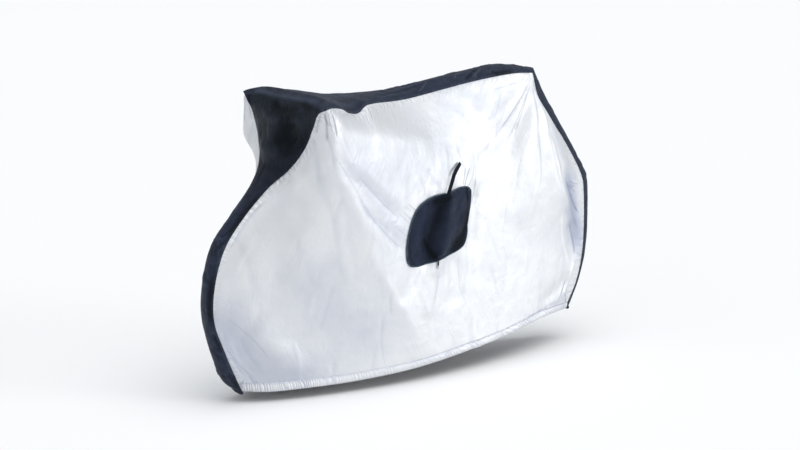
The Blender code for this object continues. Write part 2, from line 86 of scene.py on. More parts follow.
# %% Lights
Lamp = namedtuple("Lamp", "name azimuth height energy spread")
LAMPS = [
    Lamp("key", 42.0, 6.0, 1.34, 26.0),
    Lamp("top", 10.0, 76.0, 1.55, 60.0),
    Lamp("fill", -80.0, 20.0, 0.34, 50.0),
]
for lamp in LAMPS:
    light = bpy.data.objects.new(lamp.name, bpy.data.lights.new(lamp.name, "SUN"))
    light.data.energy = lamp.energy
    light.data.angle = math.radians(lamp.spread)
    light.rotation_euler = (math.radians(90 - lamp.height), 0.0, math.radians(lamp.azimuth))
    bpy.context.scene.collection.objects.link(light)

world = bpy.data.worlds.new("studio")
bpy.context.scene.world = world
world.use_nodes = True
sky = world.node_tree.nodes["Background"]
sky.inputs["Color"].default_value = (0.92, 0.955, 1.0, 1.0)
sky.inputs["Strength"].default_value = 0.48
bpy.context.scene.view_settings.view_transform = "Standard"
print("lights ready")

# %% Floor
SADDLE_X = 1.03
SADDLE_HEIGHT = 1.156
FLOOR_SIZE = 90.0
ORIGIN = np.array([-SADDLE_X, 0.0, -SADDLE_HEIGHT])

bpy.ops.mesh.primitive_plane_add(size=FLOOR_SIZE, location=(0.0, 0.0, -SADDLE_HEIGHT))
floor = bpy.context.object
floor.name = "floor"
floor_paint = bpy.data.materials.new("pale_floor")
floor_paint.use_nodes = True
floor_shader = floor_paint.node_tree.nodes["Principled BSDF"]
floor_shader.inputs["Base Color"].default_value = (0.97, 0.97, 0.97, 1.0)
floor_shader.inputs["Roughness"].default_value = 0.9
floor.data.materials.append(floor_paint)
print("floor at", -SADDLE_HEIGHT)

# %% [markdown]
# ## Node groups that several cloths share
#
# A weave is a small checker of bumps that follows the cloth's own thread directions, so it reads
# the UV map, which is measured in metres. Crumpling is a net of soft dents that coated cloth keeps
# from being packed small. Drawn folds are long thin ridges that run with the pull of the cloth,
# seam gathers are the short ones that a sewn seam makes, and a fold line is one crisp crease
# between two places. Each puts out a height for a Bump node or a mask for colour and roughness:
# the masks of the gathers and fold lines darken the colour as painted shade. The last group turns
# the cloth's distance from its seams into a mask that is partly edge wear and partly a painted
# highlight.

# %% Helpers for building node trees


def new_group(name, inputs, outputs):
    """An empty shader node group with float or vector sockets."""
    group = bpy.data.node_groups.new(name, "ShaderNodeTree")
    for label, kind, value in inputs:
        socket = group.interface.new_socket(label, in_out="INPUT", socket_type=kind)
        if value is not None:
            socket.default_value = value
    for label, kind in outputs:
        group.interface.new_socket(label, in_out="OUTPUT", socket_type=kind)
    return group, group.nodes.new("NodeGroupInput").outputs, group.nodes.new("NodeGroupOutput").inputs


def math_node(tree, operation, *values, clamp=False):
    """A Math node whose inputs are sockets or plain numbers."""
    node = tree.nodes.new("ShaderNodeMath")
    node.operation = operation
    node.use_clamp = clamp
    for socket, value in zip(node.inputs, values):
        if isinstance(value, (int, float)):
            socket.default_value = value
        else:
            tree.links.new(value, socket)
    return node.outputs[0]


def vector_node(tree, operation, *values):
    """A Vector Math node whose inputs are sockets or tuples."""
    node = tree.nodes.new("ShaderNodeVectorMath")
    node.operation = operation
    for socket, value in zip(node.inputs, values):
        if isinstance(value, tuple):
            socket.default_value = value
        else:
            tree.links.new(value, socket)
    return node.outputs["Value" if operation == "DOT_PRODUCT" else "Vector"]


def noise_node(tree, place, scale, detail):
    """A Noise node's value."""
    node = tree.nodes.new("ShaderNodeTexNoise")
    node.inputs["Scale"].default_value = scale
    node.inputs["Detail"].default_value = detail
    tree.links.new(place, node.inputs["Vector"])
    return node.outputs["Fac"]


def ramp_node(tree, value, low, high):
    """Turns a range of values into 0 to 1 with smooth ends."""
    node = tree.nodes.new("ShaderNodeMapRange")
    node.interpolation_type = "SMOOTHSTEP"
    tree.links.new(value, node.inputs["Value"])
    node.inputs["From Min"].default_value = low
    node.inputs["From Max"].default_value = high
    return node.outputs["Result"]


FLOAT, VECTOR = "NodeSocketFloat", "NodeSocketVector"

# %% Weave group
weave, enter, leave = new_group(
    "plain_weave",
    [("Cloth Place", VECTOR, None), ("Threads Per Metre", FLOAT, 1400.0)],
    [("Height", FLOAT), ("Thread Mask", FLOAT)],
)
maths = partial(math_node, weave)
split = weave.nodes.new("ShaderNodeSeparateXYZ")
weave.links.new(enter["Cloth Place"], split.inputs[0])
turns = maths("MULTIPLY", enter["Threads Per Metre"], math.pi)
warp = maths("SINE", maths("MULTIPLY", split.outputs["X"], turns))
weft = maths("SINE", maths("MULTIPLY", split.outputs["Y"], turns))
checker = maths("MULTIPLY", warp, weft)
weave.links.new(checker, leave["Height"])
weave.links.new(maths("ABSOLUTE", checker), leave["Thread Mask"])
print("weave group has", len(weave.nodes), "nodes")

# %% Crumple group
crumple_group, enter, leave = new_group(
    "crumple",
    [("Place", VECTOR, None), ("Dents Per Metre", FLOAT, 14.0)],
    [("Height", FLOAT), ("Blotch", FLOAT)],
)
maths = partial(math_node, crumple_group)
wander = crumple_group.nodes.new("ShaderNodeTexNoise")
wander.inputs["Detail"].default_value = 2.0
crumple_group.links.new(enter["Place"], wander.inputs["Vector"])
crumple_group.links.new(enter["Dents Per Metre"], wander.inputs["Scale"])
shifted = crumple_group.nodes.new("ShaderNodeVectorMath")
shifted.operation = "MULTIPLY_ADD"
crumple_group.links.new(wander.outputs["Color"], shifted.inputs[0])
shifted.inputs[1].default_value = (0.09, 0.09, 0.09)
crumple_group.links.new(enter["Place"], shifted.inputs[2])
facets = crumple_group.nodes.new("ShaderNodeTexVoronoi")
facets.feature = "DISTANCE_TO_EDGE"
crumple_group.links.new(shifted.outputs[0], facets.inputs["Vector"])
crumple_group.links.new(enter["Dents Per Metre"], facets.inputs["Scale"])
facet_height = ramp_node(crumple_group, facets.outputs["Distance"], 0.0, 0.35)
grain = crumple_group.nodes.new("ShaderNodeTexNoise")
grain.inputs["Detail"].default_value = 5.0
grain.inputs["Roughness"].default_value = 0.6
crumple_group.links.new(shifted.outputs[0], grain.inputs["Vector"])
crumple_group.links.new(maths("MULTIPLY", enter["Dents Per Metre"], 2.5), grain.inputs["Scale"])
mixed = maths("ADD", maths("MULTIPLY", facet_height, 0.45), grain.outputs["Fac"])
crumple_group.links.new(mixed, leave["Height"])
crumple_group.links.new(ramp_node(crumple_group, wander.outputs["Fac"], 0.3, 0.7), leave["Blotch"])
print("crumple group has", len(crumple_group.nodes), "nodes")

# %% Drawn fold group
drawn_folds, enter, leave = new_group(
    "drawn_folds",
    [("Cloth Place", VECTOR, None), ("Stretch", VECTOR, (7.0, 38.0, 1.0))],
    [("Height", FLOAT)],
)
maths = partial(math_node, drawn_folds)
pulled = vector_node(drawn_folds, "MULTIPLY", enter["Cloth Place"], enter["Stretch"])
level = maths("SUBTRACT", noise_node(drawn_folds, pulled, 1.0, 2.0), 0.5)
level = maths("MULTIPLY", maths("ABSOLUTE", level), 9.0)
ridge = maths("SUBTRACT", 1.0, level, clamp=True)
here = ramp_node(drawn_folds, noise_node(drawn_folds, enter["Cloth Place"], 9.0, 1.0), 0.42, 0.62)
drawn_folds.links.new(maths("MULTIPLY", ridge, here), leave["Height"])

# %% Seam gather group
seam_gathers, enter, leave = new_group(
    "seam_gathers",
    [("Run", FLOAT, 0.0), ("Edge Distance", FLOAT, 1.0), ("Amount", FLOAT, 0.0),
     ("Folds Per Metre", FLOAT, 75.0)],
    [("Height", FLOAT)],
)
maths = partial(math_node, seam_gathers)
spot = seam_gathers.nodes.new("ShaderNodeCombineXYZ")
seam_gathers.links.new(maths("MULTIPLY", enter["Run"], enter["Folds Per Metre"]), spot.inputs["X"])
seam_gathers.links.new(maths("MULTIPLY", enter["Edge Distance"], 14.0), spot.inputs["Y"])
fold = ramp_node(seam_gathers, noise_node(seam_gathers, spot.outputs["Vector"], 1.0, 1.0), 0.36, 0.64)
seam_gathers.links.new(maths("MULTIPLY", maths("SUBTRACT", fold, 0.5), enter["Amount"]), leave["Height"])

# %% Fold line group
fold_line, enter, leave = new_group(
    "fold_line",
    [("Place", VECTOR, None), ("Start", VECTOR, None), ("End", VECTOR, None), ("Bow", FLOAT, 0.0),
     ("Width", FLOAT, 0.004)],
    [("Height", FLOAT)],
)
maths = partial(math_node, fold_line)
run = vector_node(fold_line, "SUBTRACT", enter["End"], enter["Start"])
from_start = vector_node(fold_line, "SUBTRACT", enter["Place"], enter["Start"])
square = vector_node(fold_line, "DOT_PRODUCT", run, run)
along = maths("DIVIDE", vector_node(fold_line, "DOT_PRODUCT", from_start, run), square)
arch = maths("MULTIPLY", along, maths("SUBTRACT", 1.0, along))
sideways = vector_node(fold_line, "CROSS_PRODUCT", run, (0.0, 1.0, 0.0))
off = maths("DIVIDE", vector_node(fold_line, "DOT_PRODUCT", from_start, sideways), maths("SQRT", square))
off = maths("SUBTRACT", off, maths("MULTIPLY", arch, enter["Bow"]))
off = maths("DIVIDE", maths("ABSOLUTE", off), enter["Width"])
crest = maths("POWER", maths("SUBTRACT", 1.0, off, clamp=True), 1.6)
taper = maths("MULTIPLY", arch, 7.0, clamp=True)
fold_line.links.new(maths("MULTIPLY", crest, taper), leave["Height"])
print("fold groups:", drawn_folds.name, seam_gathers.name, fold_line.name)

# %% Edge wear and painted highlight group
edge_wear_and_highlight, enter, leave = new_group(
    "edge_wear_and_highlight",
    [("Place", VECTOR, None), ("Edge Distance", FLOAT, 1.0), ("Reach", FLOAT, 0.012)],
    [("Wear And Highlight", FLOAT)],
)
maths = partial(math_node, edge_wear_and_highlight)
rubbed = noise_node(edge_wear_and_highlight, enter["Place"], 55.0, 3.0)
# Near the seams this mask is partly edge wear and partly a painted highlight along the seam.
near_edge = maths("SUBTRACT", 1.0, maths("DIVIDE", enter["Edge Distance"], enter["Reach"]), clamp=True)
edge_wear_and_highlight.links.new(maths("MULTIPLY", near_edge, ramp_node(edge_wear_and_highlight, rubbed, 0.35, 0.65)), leave["Wear And Highlight"])
print("edge wear group has", len(edge_wear_and_highlight.nodes), "nodes")

# %% [markdown]
# ## The cloths
#
# The side panels are coated polyester: a fine plain weave under a thin silver coat, with a broad
# satin gloss. The band and pocket are a coarser plain weave in navy without the coat. Each cloth
# mixes its own base colour with a slightly darker one by the crumple's blotches. Near its sewn
# edges it mixes in a lighter worn colour, which is partly wear and partly a painted highlight, and
# the crests of its folds take the same colour as a painted highlight. Its troughs, by a crest value
# that its mesh holds, and its gathers and fold lines are darkened as painted shade. Tables darken
# more places, where folds lean away from the light, by a shade value: more painted shade. The side
# panels also take a table of single fold lines.

# %% One builder for every cloth
Cloth = namedtuple(
    "Cloth",
    "name colour blotch_colour worn_colour fold_colour metallic roughness threads weave_depth"
    " dents dent_depth stretch fold_depth gather_depth gloss sheen shadow",
)
FoldLine = namedtuple("FoldLine", "sides x0 z0 x1 z1 bow width height")
WEAR_AND_HIGHLIGHT_REACH = 0.014
THREADS_SHOW, WEAR_AND_HIGHLIGHT_SHOWS, FOLD_SHADE_SHOWS = 0.25, 0.7, 0.6


def place_group(tree, group, **values):
    """A group node in a material, with numbers or links for its inputs."""
    node = tree.nodes.new("ShaderNodeGroup")
    node.node_tree = group
    for label, value in values.items():
        socket = node.inputs[label.replace("_", " ").title()]
        if isinstance(value, (int, float, tuple)):
            socket.default_value = value
        else:
            tree.links.new(value, socket)
    return node


def attribute_node(tree, name):
    """A value that each mesh point holds, or 0 where the mesh has none."""
    node = tree.nodes.new("ShaderNodeAttribute")
    node.attribute_name = name
    return node.outputs["Fac"]


def mix_colour(tree, share, first, second, strength=1.0):
    """A colour between two, by a mask times a strength."""
    node = tree.nodes.new("ShaderNodeMix")
    node.data_type = "RGBA"
    for socket, value in ((node.inputs[6], first), (node.inputs[7], second)):
        if isinstance(value, tuple):
            socket.default_value = (*value, 1.0)
        else:
            tree.links.new(value, socket)
    tree.links.new(math_node(tree, "MULTIPLY", share, strength), node.inputs[0])
    return node.outputs[2]


def cloth_material(cloth, lines=()):
    """A cloth's Principled material: weave, crumples, folds, variation, worn edges, painted shade and
    highlight.
    """
    material = bpy.data.materials.new(cloth.name)
    material.use_nodes = True
    tree = material.node_tree
    maths, mix = partial(math_node, tree), partial(mix_colour, tree)
    grouped, held_value = partial(place_group, tree), partial(attribute_node, tree)
    shader = tree.nodes["Principled BSDF"]
    uv = tree.nodes.new("ShaderNodeUVMap")
    uv.uv_map = "UVMap"
    uv = uv.outputs["UV"]
    place = tree.nodes.new("ShaderNodeTexCoord").outputs["Object"]
    edge = held_value("edge_distance")
    threads = grouped(weave, cloth_place=uv, threads_per_metre=cloth.threads).outputs
    dents = grouped(crumple_group, place=place, dents_per_metre=cloth.dents).outputs
    wear_and_highlight = grouped(edge_wear_and_highlight, place=place, edge_distance=edge, reach=WEAR_AND_HIGHLIGHT_REACH).outputs["Wear And Highlight"]
    drawn = grouped(drawn_folds, cloth_place=uv, stretch=cloth.stretch).outputs["Height"]
    gather = grouped(
        seam_gathers, run=held_value("seam_run"), edge_distance=edge,
        amount=held_value("gather"),
    ).outputs["Height"]

    height = maths("MULTIPLY", dents["Height"], cloth.dent_depth)
    for more, depth in ((drawn, cloth.fold_depth), (gather, cloth.gather_depth)):
        height = maths("ADD", height, maths("MULTIPLY", more, depth))
    crest = held_value("crest")
    # Painted shade: the colour is darkened in the seam gathers and in the troughs of the mesh's crest
    # value.
    painted_fold_shade = maths("MULTIPLY", maths("ABSOLUTE", gather), 0.5)
    painted_fold_shade = maths("ADD", painted_fold_shade, maths("MULTIPLY", crest, -0.6, clamp=True))
    # Painted highlight: the crests of the mesh's folds take the worn colour too.
    wear_and_highlight = maths("MAXIMUM", wear_and_highlight, maths("MULTIPLY", crest, 0.8, clamp=True))
    for line in lines:
        start, end = ((x + float(ORIGIN[0]), 0.0, z + float(ORIGIN[2])) for x, z in
                      ((line.x0, line.z0), (line.x1, line.z1)))
        crease = grouped(
            fold_line, place=place, start=start, end=end, bow=4.0 * line.bow, width=line.width
        ).outputs["Height"]
        height = maths("MULTIPLY_ADD", crease, line.height, height)
        # Each fold line also darkens the colour along itself, troughs more than ridges: painted shade.
        depth = min(1.0, max(-line.height, 0.3 * line.height) / 0.002)
        painted_fold_shade = maths("MULTIPLY_ADD", crease, depth, painted_fold_shade)
    painted_fold_shade = maths("MINIMUM", painted_fold_shade, 1.0)

    colour = mix(dents["Blotch"], cloth.colour, cloth.blotch_colour)
    colour = mix(threads["Thread Mask"], colour, cloth.blotch_colour, THREADS_SHOW)
    # The worn colour near the seams is partly wear and partly painted highlight; on fold crests it is
    # painted highlight.
    colour = mix(wear_and_highlight, colour, cloth.worn_colour, WEAR_AND_HIGHLIGHT_SHOWS)
    # Painted shade in the gathers, the troughs and along the fold lines.
    colour = mix(painted_fold_shade, colour, cloth.fold_colour, FOLD_SHADE_SHOWS)
    # Painted shade: the shade tables darken the colour towards the cloth's shadow colour.
    colour = mix(held_value("shade"), colour, cloth.shadow)
    tree.links.new(colour, shader.inputs["Base Color"])

    rough = maths("MULTIPLY", dents["Blotch"], 0.08)
    rough = maths("ADD", rough, maths("MULTIPLY", wear_and_highlight, 0.15))
    tree.links.new(maths("ADD", rough, cloth.roughness), shader.inputs["Roughness"])
    shader.inputs["Metallic"].default_value = cloth.metallic
    shader.inputs["Specular IOR Level"].default_value = cloth.gloss
    shader.inputs["Specular Tint"].default_value = (*cloth.sheen, 1.0)

    fold_bump = tree.nodes.new("ShaderNodeBump")
    fold_bump.inputs["Distance"].default_value = 1.0
    tree.links.new(height, fold_bump.inputs["Height"])
    weave_bump = tree.nodes.new("ShaderNodeBump")
    weave_bump.inputs["Distance"].default_value = cloth.weave_depth
    weave_bump.inputs["Strength"].default_value = 0.6
    tree.links.new(threads["Height"], weave_bump.inputs["Height"])
    tree.links.new(fold_bump.outputs["Normal"], weave_bump.inputs["Normal"])
    tree.links.new(weave_bump.outputs["Normal"], shader.inputs["Normal"])
    return material


# %% The cloths and trims of this cover
FOLD_LINES = [FoldLine(*row) for row in (
    ("NF", 1.134, 1.103, .94, .915, .0, .005, -.0009),
    ("NF", 1.134, 1.096, 1.02, .895, -.004, .005, -.0011),
    ("NF", 1.118, 1.07, .985, .87, -.006, .005, .0012),
    ("NF", 1.132, 1.085, 1.129, .901, .003, .005, -.001),
    ("NF", 1.128, .92, 1.143, .68, .004, .006, -.0009),
    ("NF", 1.114, 1.108, .924, 1.073, .004, .005, -.0006),
    ("NF", 1.142, 1.095, 1.2, .872, -.004, .006, .002), ("NF", 1.192, .9, 1.262, .662, .006, .006, .0022),
    ("NF", 1.25, .695, 1.41, .45, .0, .007, .0022), ("NF", 1.283, .703, 1.413, .516, -.006, .007, -.0022),
    ("NF", 1.346, .5, 1.392, .345, .006, .008, -.0018),
    ("NF", 1.3, .688, 1.392, .652, -.008, .005, -.0014),
    ("NF", 1.315, .65, 1.375, .612, .004, .004, -.0012), ("NF", 1.385, .33, 1.325, .18, .006, .006, .0022),
    ("NF", 1.34, .26, 1.29, .17, .004, .005, -.002), ("N", .262, 1.058, .258, 1.022, .002, .004, -.0016),
    ("N", .296, 1.074, .288, 1.034, .002, .004, -.002),
    ("N", .326, 1.076, .338, 1.044, .002, .004, -.0016), ("N", .754, .8, .728, .728, .002, .004, .0014),
    ("N", .778, .795, .738, .72, -.003, .004, -.0015), ("N", .806, .812, .762, .715, .003, .004, -.0013),
    ("N", .806, .752, .776, .64, .003, .004, -.0012), ("N", .424, .707, .478, .664, .002, .003, -.0009),
    ("N", .4, .682, .456, .637, -.002, .003, -.0009), ("N", .376, .673, .436, .624, .003, .004, -.0007),
    ("N", .36, .627, .426, .575, .0, .004, -.0008), ("N", .59, .43, .555, .274, .005, .005, -.0007),
    ("N", .694, .47, .715, .3, -.006, .005, -.0006), ("NF", .043, .945, .218, .711, .006, .008, -.0008),
    ("NF", .2, .73, .418, .521, -.008, .008, -.0008), ("NF", .17, .847, .39, .649, -.005, .006, -.0006),
    ("NF", .012, 1.09, .018, 1.01, .002, .004, -.0026),
    ("NF", .024, 1.094, .036, .985, .003, .005, -.0036),
    ("NF", .036, 1.094, .052, 1.02, -.002, .004, .0028),
    ("NF", .047, 1.094, .064, 1.0, .002, .005, -.0034),
    ("NF", -.1, .762, -.266, .566, -.012, .005, -.0012),
    ("NF", -.275, .335, -.12, .165, .01, .006, -.0009), ("NF", -.285, .25, -.16, .09, -.012, .005, -.0009),
)]
SILVER = Cloth(
    "silver_coated_cloth", (.735, .745, .762), (.705, .720, .745), (.83, .84, .855), (.42, .46, .55),
    .62, .50, 1300.0, .00006, 15.0, .0010, (17.0, 3.0, 1.0), .0005, .0042, .22, (1.0, 1.0, 1.0),
    (.10, .15, .32),
)
silver_cloth = cloth_material(SILVER, FOLD_LINES)
far_silver = cloth_material(
    SILVER._replace(name="silver_coated_far_side"), [line for line in FOLD_LINES if "F" in line.sides]
)
silver_hem = cloth_material(SILVER._replace(name="silver_hem_cloth"))
NAVY_SHEEN, NAVY_SHADOW = (.72, .86, 1.0), (.002, .003, .004)
NAVY_CLOTHS = (
    ("navy_cloth", (.027, .034, .056), (.020, .026, .044), (.062, .074, .108), (.004, .005, .009),
     .0, .42, 1200.0, .00008, 26.0, .0015, (10.0, 17.0, 1.0), .0005, .0030, .10),
    ("pocket_cloth", (.019, .025, .046), (.014, .019, .036), (.034, .044, .072), (.004, .005, .010),
     .0, .55, 900.0, .00012, 30.0, .0010, (16.0, 9.0, 1.0), .0006, .0, .10),
    ("bound_tape", (.036, .064, .092), (.026, .046, .070), (.080, .100, .130), (.008, .010, .018),
     .0, .50, 900.0, .00020, 60.0, .0004, (90.0, 20.0, 1.0), .0003, .0, .22),
    ("dark_webbing", (.006, .008, .015), (.004, .005, .010), (.024, .028, .040), (.003, .004, .008),
     .0, .62, 700.0, .00030, 60.0, .0004, (20.0, 60.0, 1.0), .0002, .0, .15),
)
navy_cloth, pocket_cloth, bound_tape, dark_webbing = (
    cloth_material(Cloth(*row, NAVY_SHEEN, NAVY_SHADOW)) for row in NAVY_CLOTHS
)
print("cloths:", silver_cloth.name, navy_cloth.name, pocket_cloth.name, bound_tape.name, dark_webbing.name)

# %% Thread and moulding


def hard_material(name, colour, dark_colour, roughness, grain_scale, grain_depth):
    """A plain smooth material with fine grain and a little variation."""
    material = bpy.data.materials.new(name)
    material.use_nodes = True
    tree = material.node_tree
    shader = tree.nodes["Principled BSDF"]
    place = tree.nodes.new("ShaderNodeTexCoord").outputs["Object"]
    grain = noise_node(tree, place, grain_scale, 3.0)
    share = ramp_node(tree, grain, 0.3, 0.7)
    tree.links.new(mix_colour(tree, share, colour, dark_colour), shader.inputs["Base Color"])
    shader.inputs["Roughness"].default_value = roughness
    bump = tree.nodes.new("ShaderNodeBump")
    bump.inputs["Distance"].default_value = grain_depth
    tree.links.new(grain, bump.inputs["Height"])
    tree.links.new(bump.outputs["Normal"], shader.inputs["Normal"])
    return material


navy_thread = hard_material("navy_thread", (.045, .050, .075), (.030, .034, .052), .55, 2500.0, .0002)
silver_thread = hard_material("silver_thread", (.62, .64, .68), (.52, .54, .58), .50, 2500.0, .0002)
grey_moulding = hard_material("grey_moulding", (.46, .47, .52), (.40, .41, .46), .38, 900.0, .00008)
print("threads and moulding ready")

# %% [markdown]
# ## The cover's cut
#
# Three runs of stations describe the band: up the front wheel to the handlebar, along the top to
# the saddle, and down behind the rear wheel. Heights are above the ground and lengths are from
# where the front wheel meets it. Nearly the same tables shaped the frame's solids: some stations
# here are up to 14 mm from theirs, and the creases move the finer cloth further in places.

# %% Sizes of the cut
PANEL_COLUMNS = 40
PANEL_ROWS = 30
FINE = 4

Station = namedtuple("Station", "place ridge_x ridge_z seam_x seam_z half_width roundness bluntness",
                     defaults=(1.0, 2.0))
FRONT_RUN = [Station(*row) for row in (
    ("front hem", -.186, .024, -.203, .046, .04),
    ("under tyre", -.257, .083, -.226, .093, .042),
    ("low tyre", -.301, .188, -.272, .2, .042),
    ("hub height", -.334, .327, -.316, .327, .041),
    ("tyre front", -.333, .441, -.313, .44, .04),
    ("tyre shoulder", -.292, .597, -.267, .588, .04),
    ("tyre top", -.206, .698, -.191, .69, .041),
    ("neck", -.111, .797, -.091, .794, .054),
    ("throat", -.061, .872, -.03, .858, .094, .8),
    ("flare", -.036, .95, .006, .95, .16, .3),
    ("levers", -.012, 1.03, .013, 1.028, .203, .1, 2.2),
    ("under grip", .01, 1.078, .008, 1.076, .236, .0, 2.8),
    ("handlebar", .035, 1.136, .02, 1.105, .286, .0, 5.0),
)]
TOP_RUN = [FRONT_RUN[-1]] + [Station(*row) for row in (
    ("behind handlebar", .1, 1.125, .082, 1.097, .24, .1, 2.8),
    ("droop start", .165, 1.116, .155, 1.069, .2, .3, 2.2),
    ("droop", .24, 1.108, .246, 1.061, .158, .6),
    ("droop end", .29, 1.105, .292, 1.078, .136, .7),
    ("top tube front", .35, 1.102, .345, 1.079, .112, .8),
    ("top tube", .531, 1.11, .525, 1.074, .066),
    ("saddle nose", .86, 1.151, .858, 1.114, .058),
    ("saddle", 1.05, 1.161, 1.045, 1.13, .068, .9),
    ("saddle back", 1.175, 1.137, 1.148, 1.123, .058, .9),
)]
REAR_RUN = [TOP_RUN[-1]] + [Station(*row) for row in (
    ("below saddle", 1.259, 1.005, 1.19, 1.005, .056),
    ("rear slope", 1.375, .832, 1.329, .832, .046),
    ("rack end", 1.473, .682, 1.43, .674, .04),
    ("lamp", 1.485, .617, 1.442, .617, .039),
    ("tyre back", 1.477, .37, 1.443, .37, .038),
    ("low rear tyre", 1.441, .235, 1.413, .24, .038),
    ("rear hem", 1.384, .117, 1.356, .128, .036),
)]

HemPoint = namedtuple("HemPoint", "place x z half_width")
HEM = [HemPoint(*row) for row in (
    ("behind front band", -.12, .04, .084),
    ("front wheel", .03, .04, .128),
    ("down tube", .23, .042, .164),
    ("cranks", .48, .053, .184),
    ("chain stay", .74, .077, .174),
    ("rear wheel", .96, .1, .146),
    ("rear tyre", 1.17, .129, .104),
)]
print("stations along the band:", len(FRONT_RUN) + len(TOP_RUN) + len(REAR_RUN) - 2)

# %% [markdown]
# ## What holds a side panel out
#
# A panel is stretched like a film over the handlebar's grip, the cranks, the saddle and the
# wheels. Each support is a straight edge with a half width at its two ends and the radius over
# which the cloth bends there.

# %% Supports
Support = namedtuple("Support", "place sides x0 z0 out0 x1 z1 out1 radius")
SUPPORTS = [Support(*row) for row in (
    ("near grip", "N", .05, 1.085, .28, .045, 1.0, .286, .06),
    ("far grip", "F", .045, 1.085, .318, .04, 1.01, .342, .05),
    ("far brake lever", "F", .04, 1.01, .342, .04, .955, .352, .05),
    ("grip to crank", "NF", .035, .99, .284, .56, .06, .19, .06),
    ("grip to chain stay", "NF", .04, 1.0, .282, .74, .42, .158, .05),
    ("grip to saddle", "NF", .05, 1.02, .278, .52, .9, .172, .04),
    ("saddle to rear wheel", "NF", 1.158, 1.07, .07, 1.29, .74, .098, .01),
    ("rear wheel", "NF", 1.29, .74, .098, 1.405, .47, .052, .01),
)]
BILLOW = 0.030
SOFTENING = 16
print("supports:", ", ".join(rest.place for rest in SUPPORTS))

# %% [markdown]
# ## Smooth curves through the tables
#
# The seams are cubic curves through the stations, read at even steps.

# %% Curves


def spline(points, count):
    """count + 1 points evenly spaced along a smooth curve through points."""
    points = np.asarray(points, float)
    step = np.sqrt(np.linalg.norm(np.diff(points, axis=0), axis=1))
    knots = np.concatenate([[0.0], np.cumsum(step)])
    slopes = np.gradient(points, knots, axis=0)
    dense = np.linspace(0.0, knots[-1], 40 * len(points))
    span = np.clip(np.searchsorted(knots, dense, side="right") - 1, 0, len(points) - 2)
    width = knots[span + 1] - knots[span]
    t = ((dense - knots[span]) / width)[:, None]
    width = width[:, None]
    curve = (
        (2 * t**3 - 3 * t**2 + 1) * points[span]
        + (t**3 - 2 * t**2 + t) * width * slopes[span]
        + (3 * t**2 - 2 * t**3) * points[span + 1]
        + (t**3 - t**2) * width * slopes[span + 1]
    )
    length = np.concatenate([[0.0], np.cumsum(np.linalg.norm(np.diff(curve[:, :4], axis=0), axis=1))])
    even = np.linspace(0.0, length[-1], count + 1)
    return read_along(even, length, curve)


def read_along(at, run, line):
    """A line of points read again where its run comes to each length in at."""
    return np.stack([np.interp(at, run, column) for column in line.T], axis=-1)


def read_across(insets, reach, grid):
    """One point from each row of a grid, where the row's reach comes to its inset."""
    return np.array([read_along(inset, run, row) for inset, run, row in zip(insets, reach, grid)])


def band_rows():
    """Rows of the whole band, with the seam's corners at the handlebar and the saddle kept sharp."""
    counts = (PANEL_ROWS * FINE, PANEL_COLUMNS * FINE, PANEL_ROWS * FINE)
    runs = [spline([s[1:] for s in run], n) for run, n in zip((FRONT_RUN, TOP_RUN, REAR_RUN), counts)]
    return np.concatenate([runs[0], runs[1][1:], runs[2][1:]])


def smooth_step(t):
    t = np.clip(t, 0.0, 1.0)
    return t * t * (3 - 2 * t)


def lengths_along(grid, axis):
    """How far each point of a grid lies from its line's start, along one axis."""
    steps = np.linalg.norm(np.diff(grid, axis=axis), axis=-1)
    start = np.zeros_like(np.take(steps, [0], axis=axis))
    return np.cumsum(np.concatenate([start, steps], axis=axis), axis=axis)


def run_of(line):
    """How far each point of a line lies from its start."""
    return lengths_along(line[:, None], 0)[:, 0]


def eased(values, rounds):
    """A line of values smoothed along itself."""
    values = values.copy()
    for _ in range(rounds):
        values[1:-1] = (values[:-2] + 2 * values[1:-1] + values[2:]) / 4
    return values


def relief(height, full):
    """From -1 in a trough to 1 on a crest, by how far each point of a grid stands off its neighbours."""
    level = eased(eased(height, 6).T, 6).T
    return np.clip((height - level) / full, -1.0, 1.0)


def along_segment(x, z, x0, z0, x1, z1):
    """How far along the segment each point lies, from 0 to 1, and its signed distance from the line."""
    run_x, run_z = x1 - x0, z1 - z0
    length = math.hypot(run_x, run_z)
    along = ((x - x0) * run_x + (z - z0) * run_z) / length**2
    across = ((x - x0) * -run_z + (z - z0) * run_x) / length
    return along, across


def near_mark(x, z, mark):
    """How far along a straight mark each point lies, the same kept within it, and its distance."""
    along, _ = along_segment(x, z, mark.x0, mark.z0, mark.x1, mark.z1)
    inside = np.clip(along, 0.0, 1.0)
    foot_x = mark.x0 + inside * (mark.x1 - mark.x0)
    foot_z = mark.z0 + inside * (mark.z1 - mark.z0)
    return along, inside, np.hypot(x - foot_x, z - foot_z)


BAND_ROWS = band_rows()
print("rows of the cut:", len(BAND_ROWS))

# %% Reading a grid at new places


def resampled(grid, places, axis):
    """The grid read again at places from 0 to 1 along one axis, through smooth cubic curves."""
    grid = np.moveaxis(grid, axis, 0)
    grid = np.concatenate([2 * grid[:1] - grid[1:2], grid, 2 * grid[-1:] - grid[-2:-1]])
    at = places * (len(grid) - 3)
    i = np.clip(at.astype(int), 0, len(grid) - 4)
    t = (at - i).reshape(-1, *[1] * (grid.ndim - 1))
    a, b, c, d = grid[i], grid[i + 1], grid[i + 2], grid[i + 3]
    value = b + t / 2 * (c - a + t * (2 * a - 5 * b + 4 * c - d + t * (3 * (b - c) + d - a)))
    return np.moveaxis(value, 0, axis)


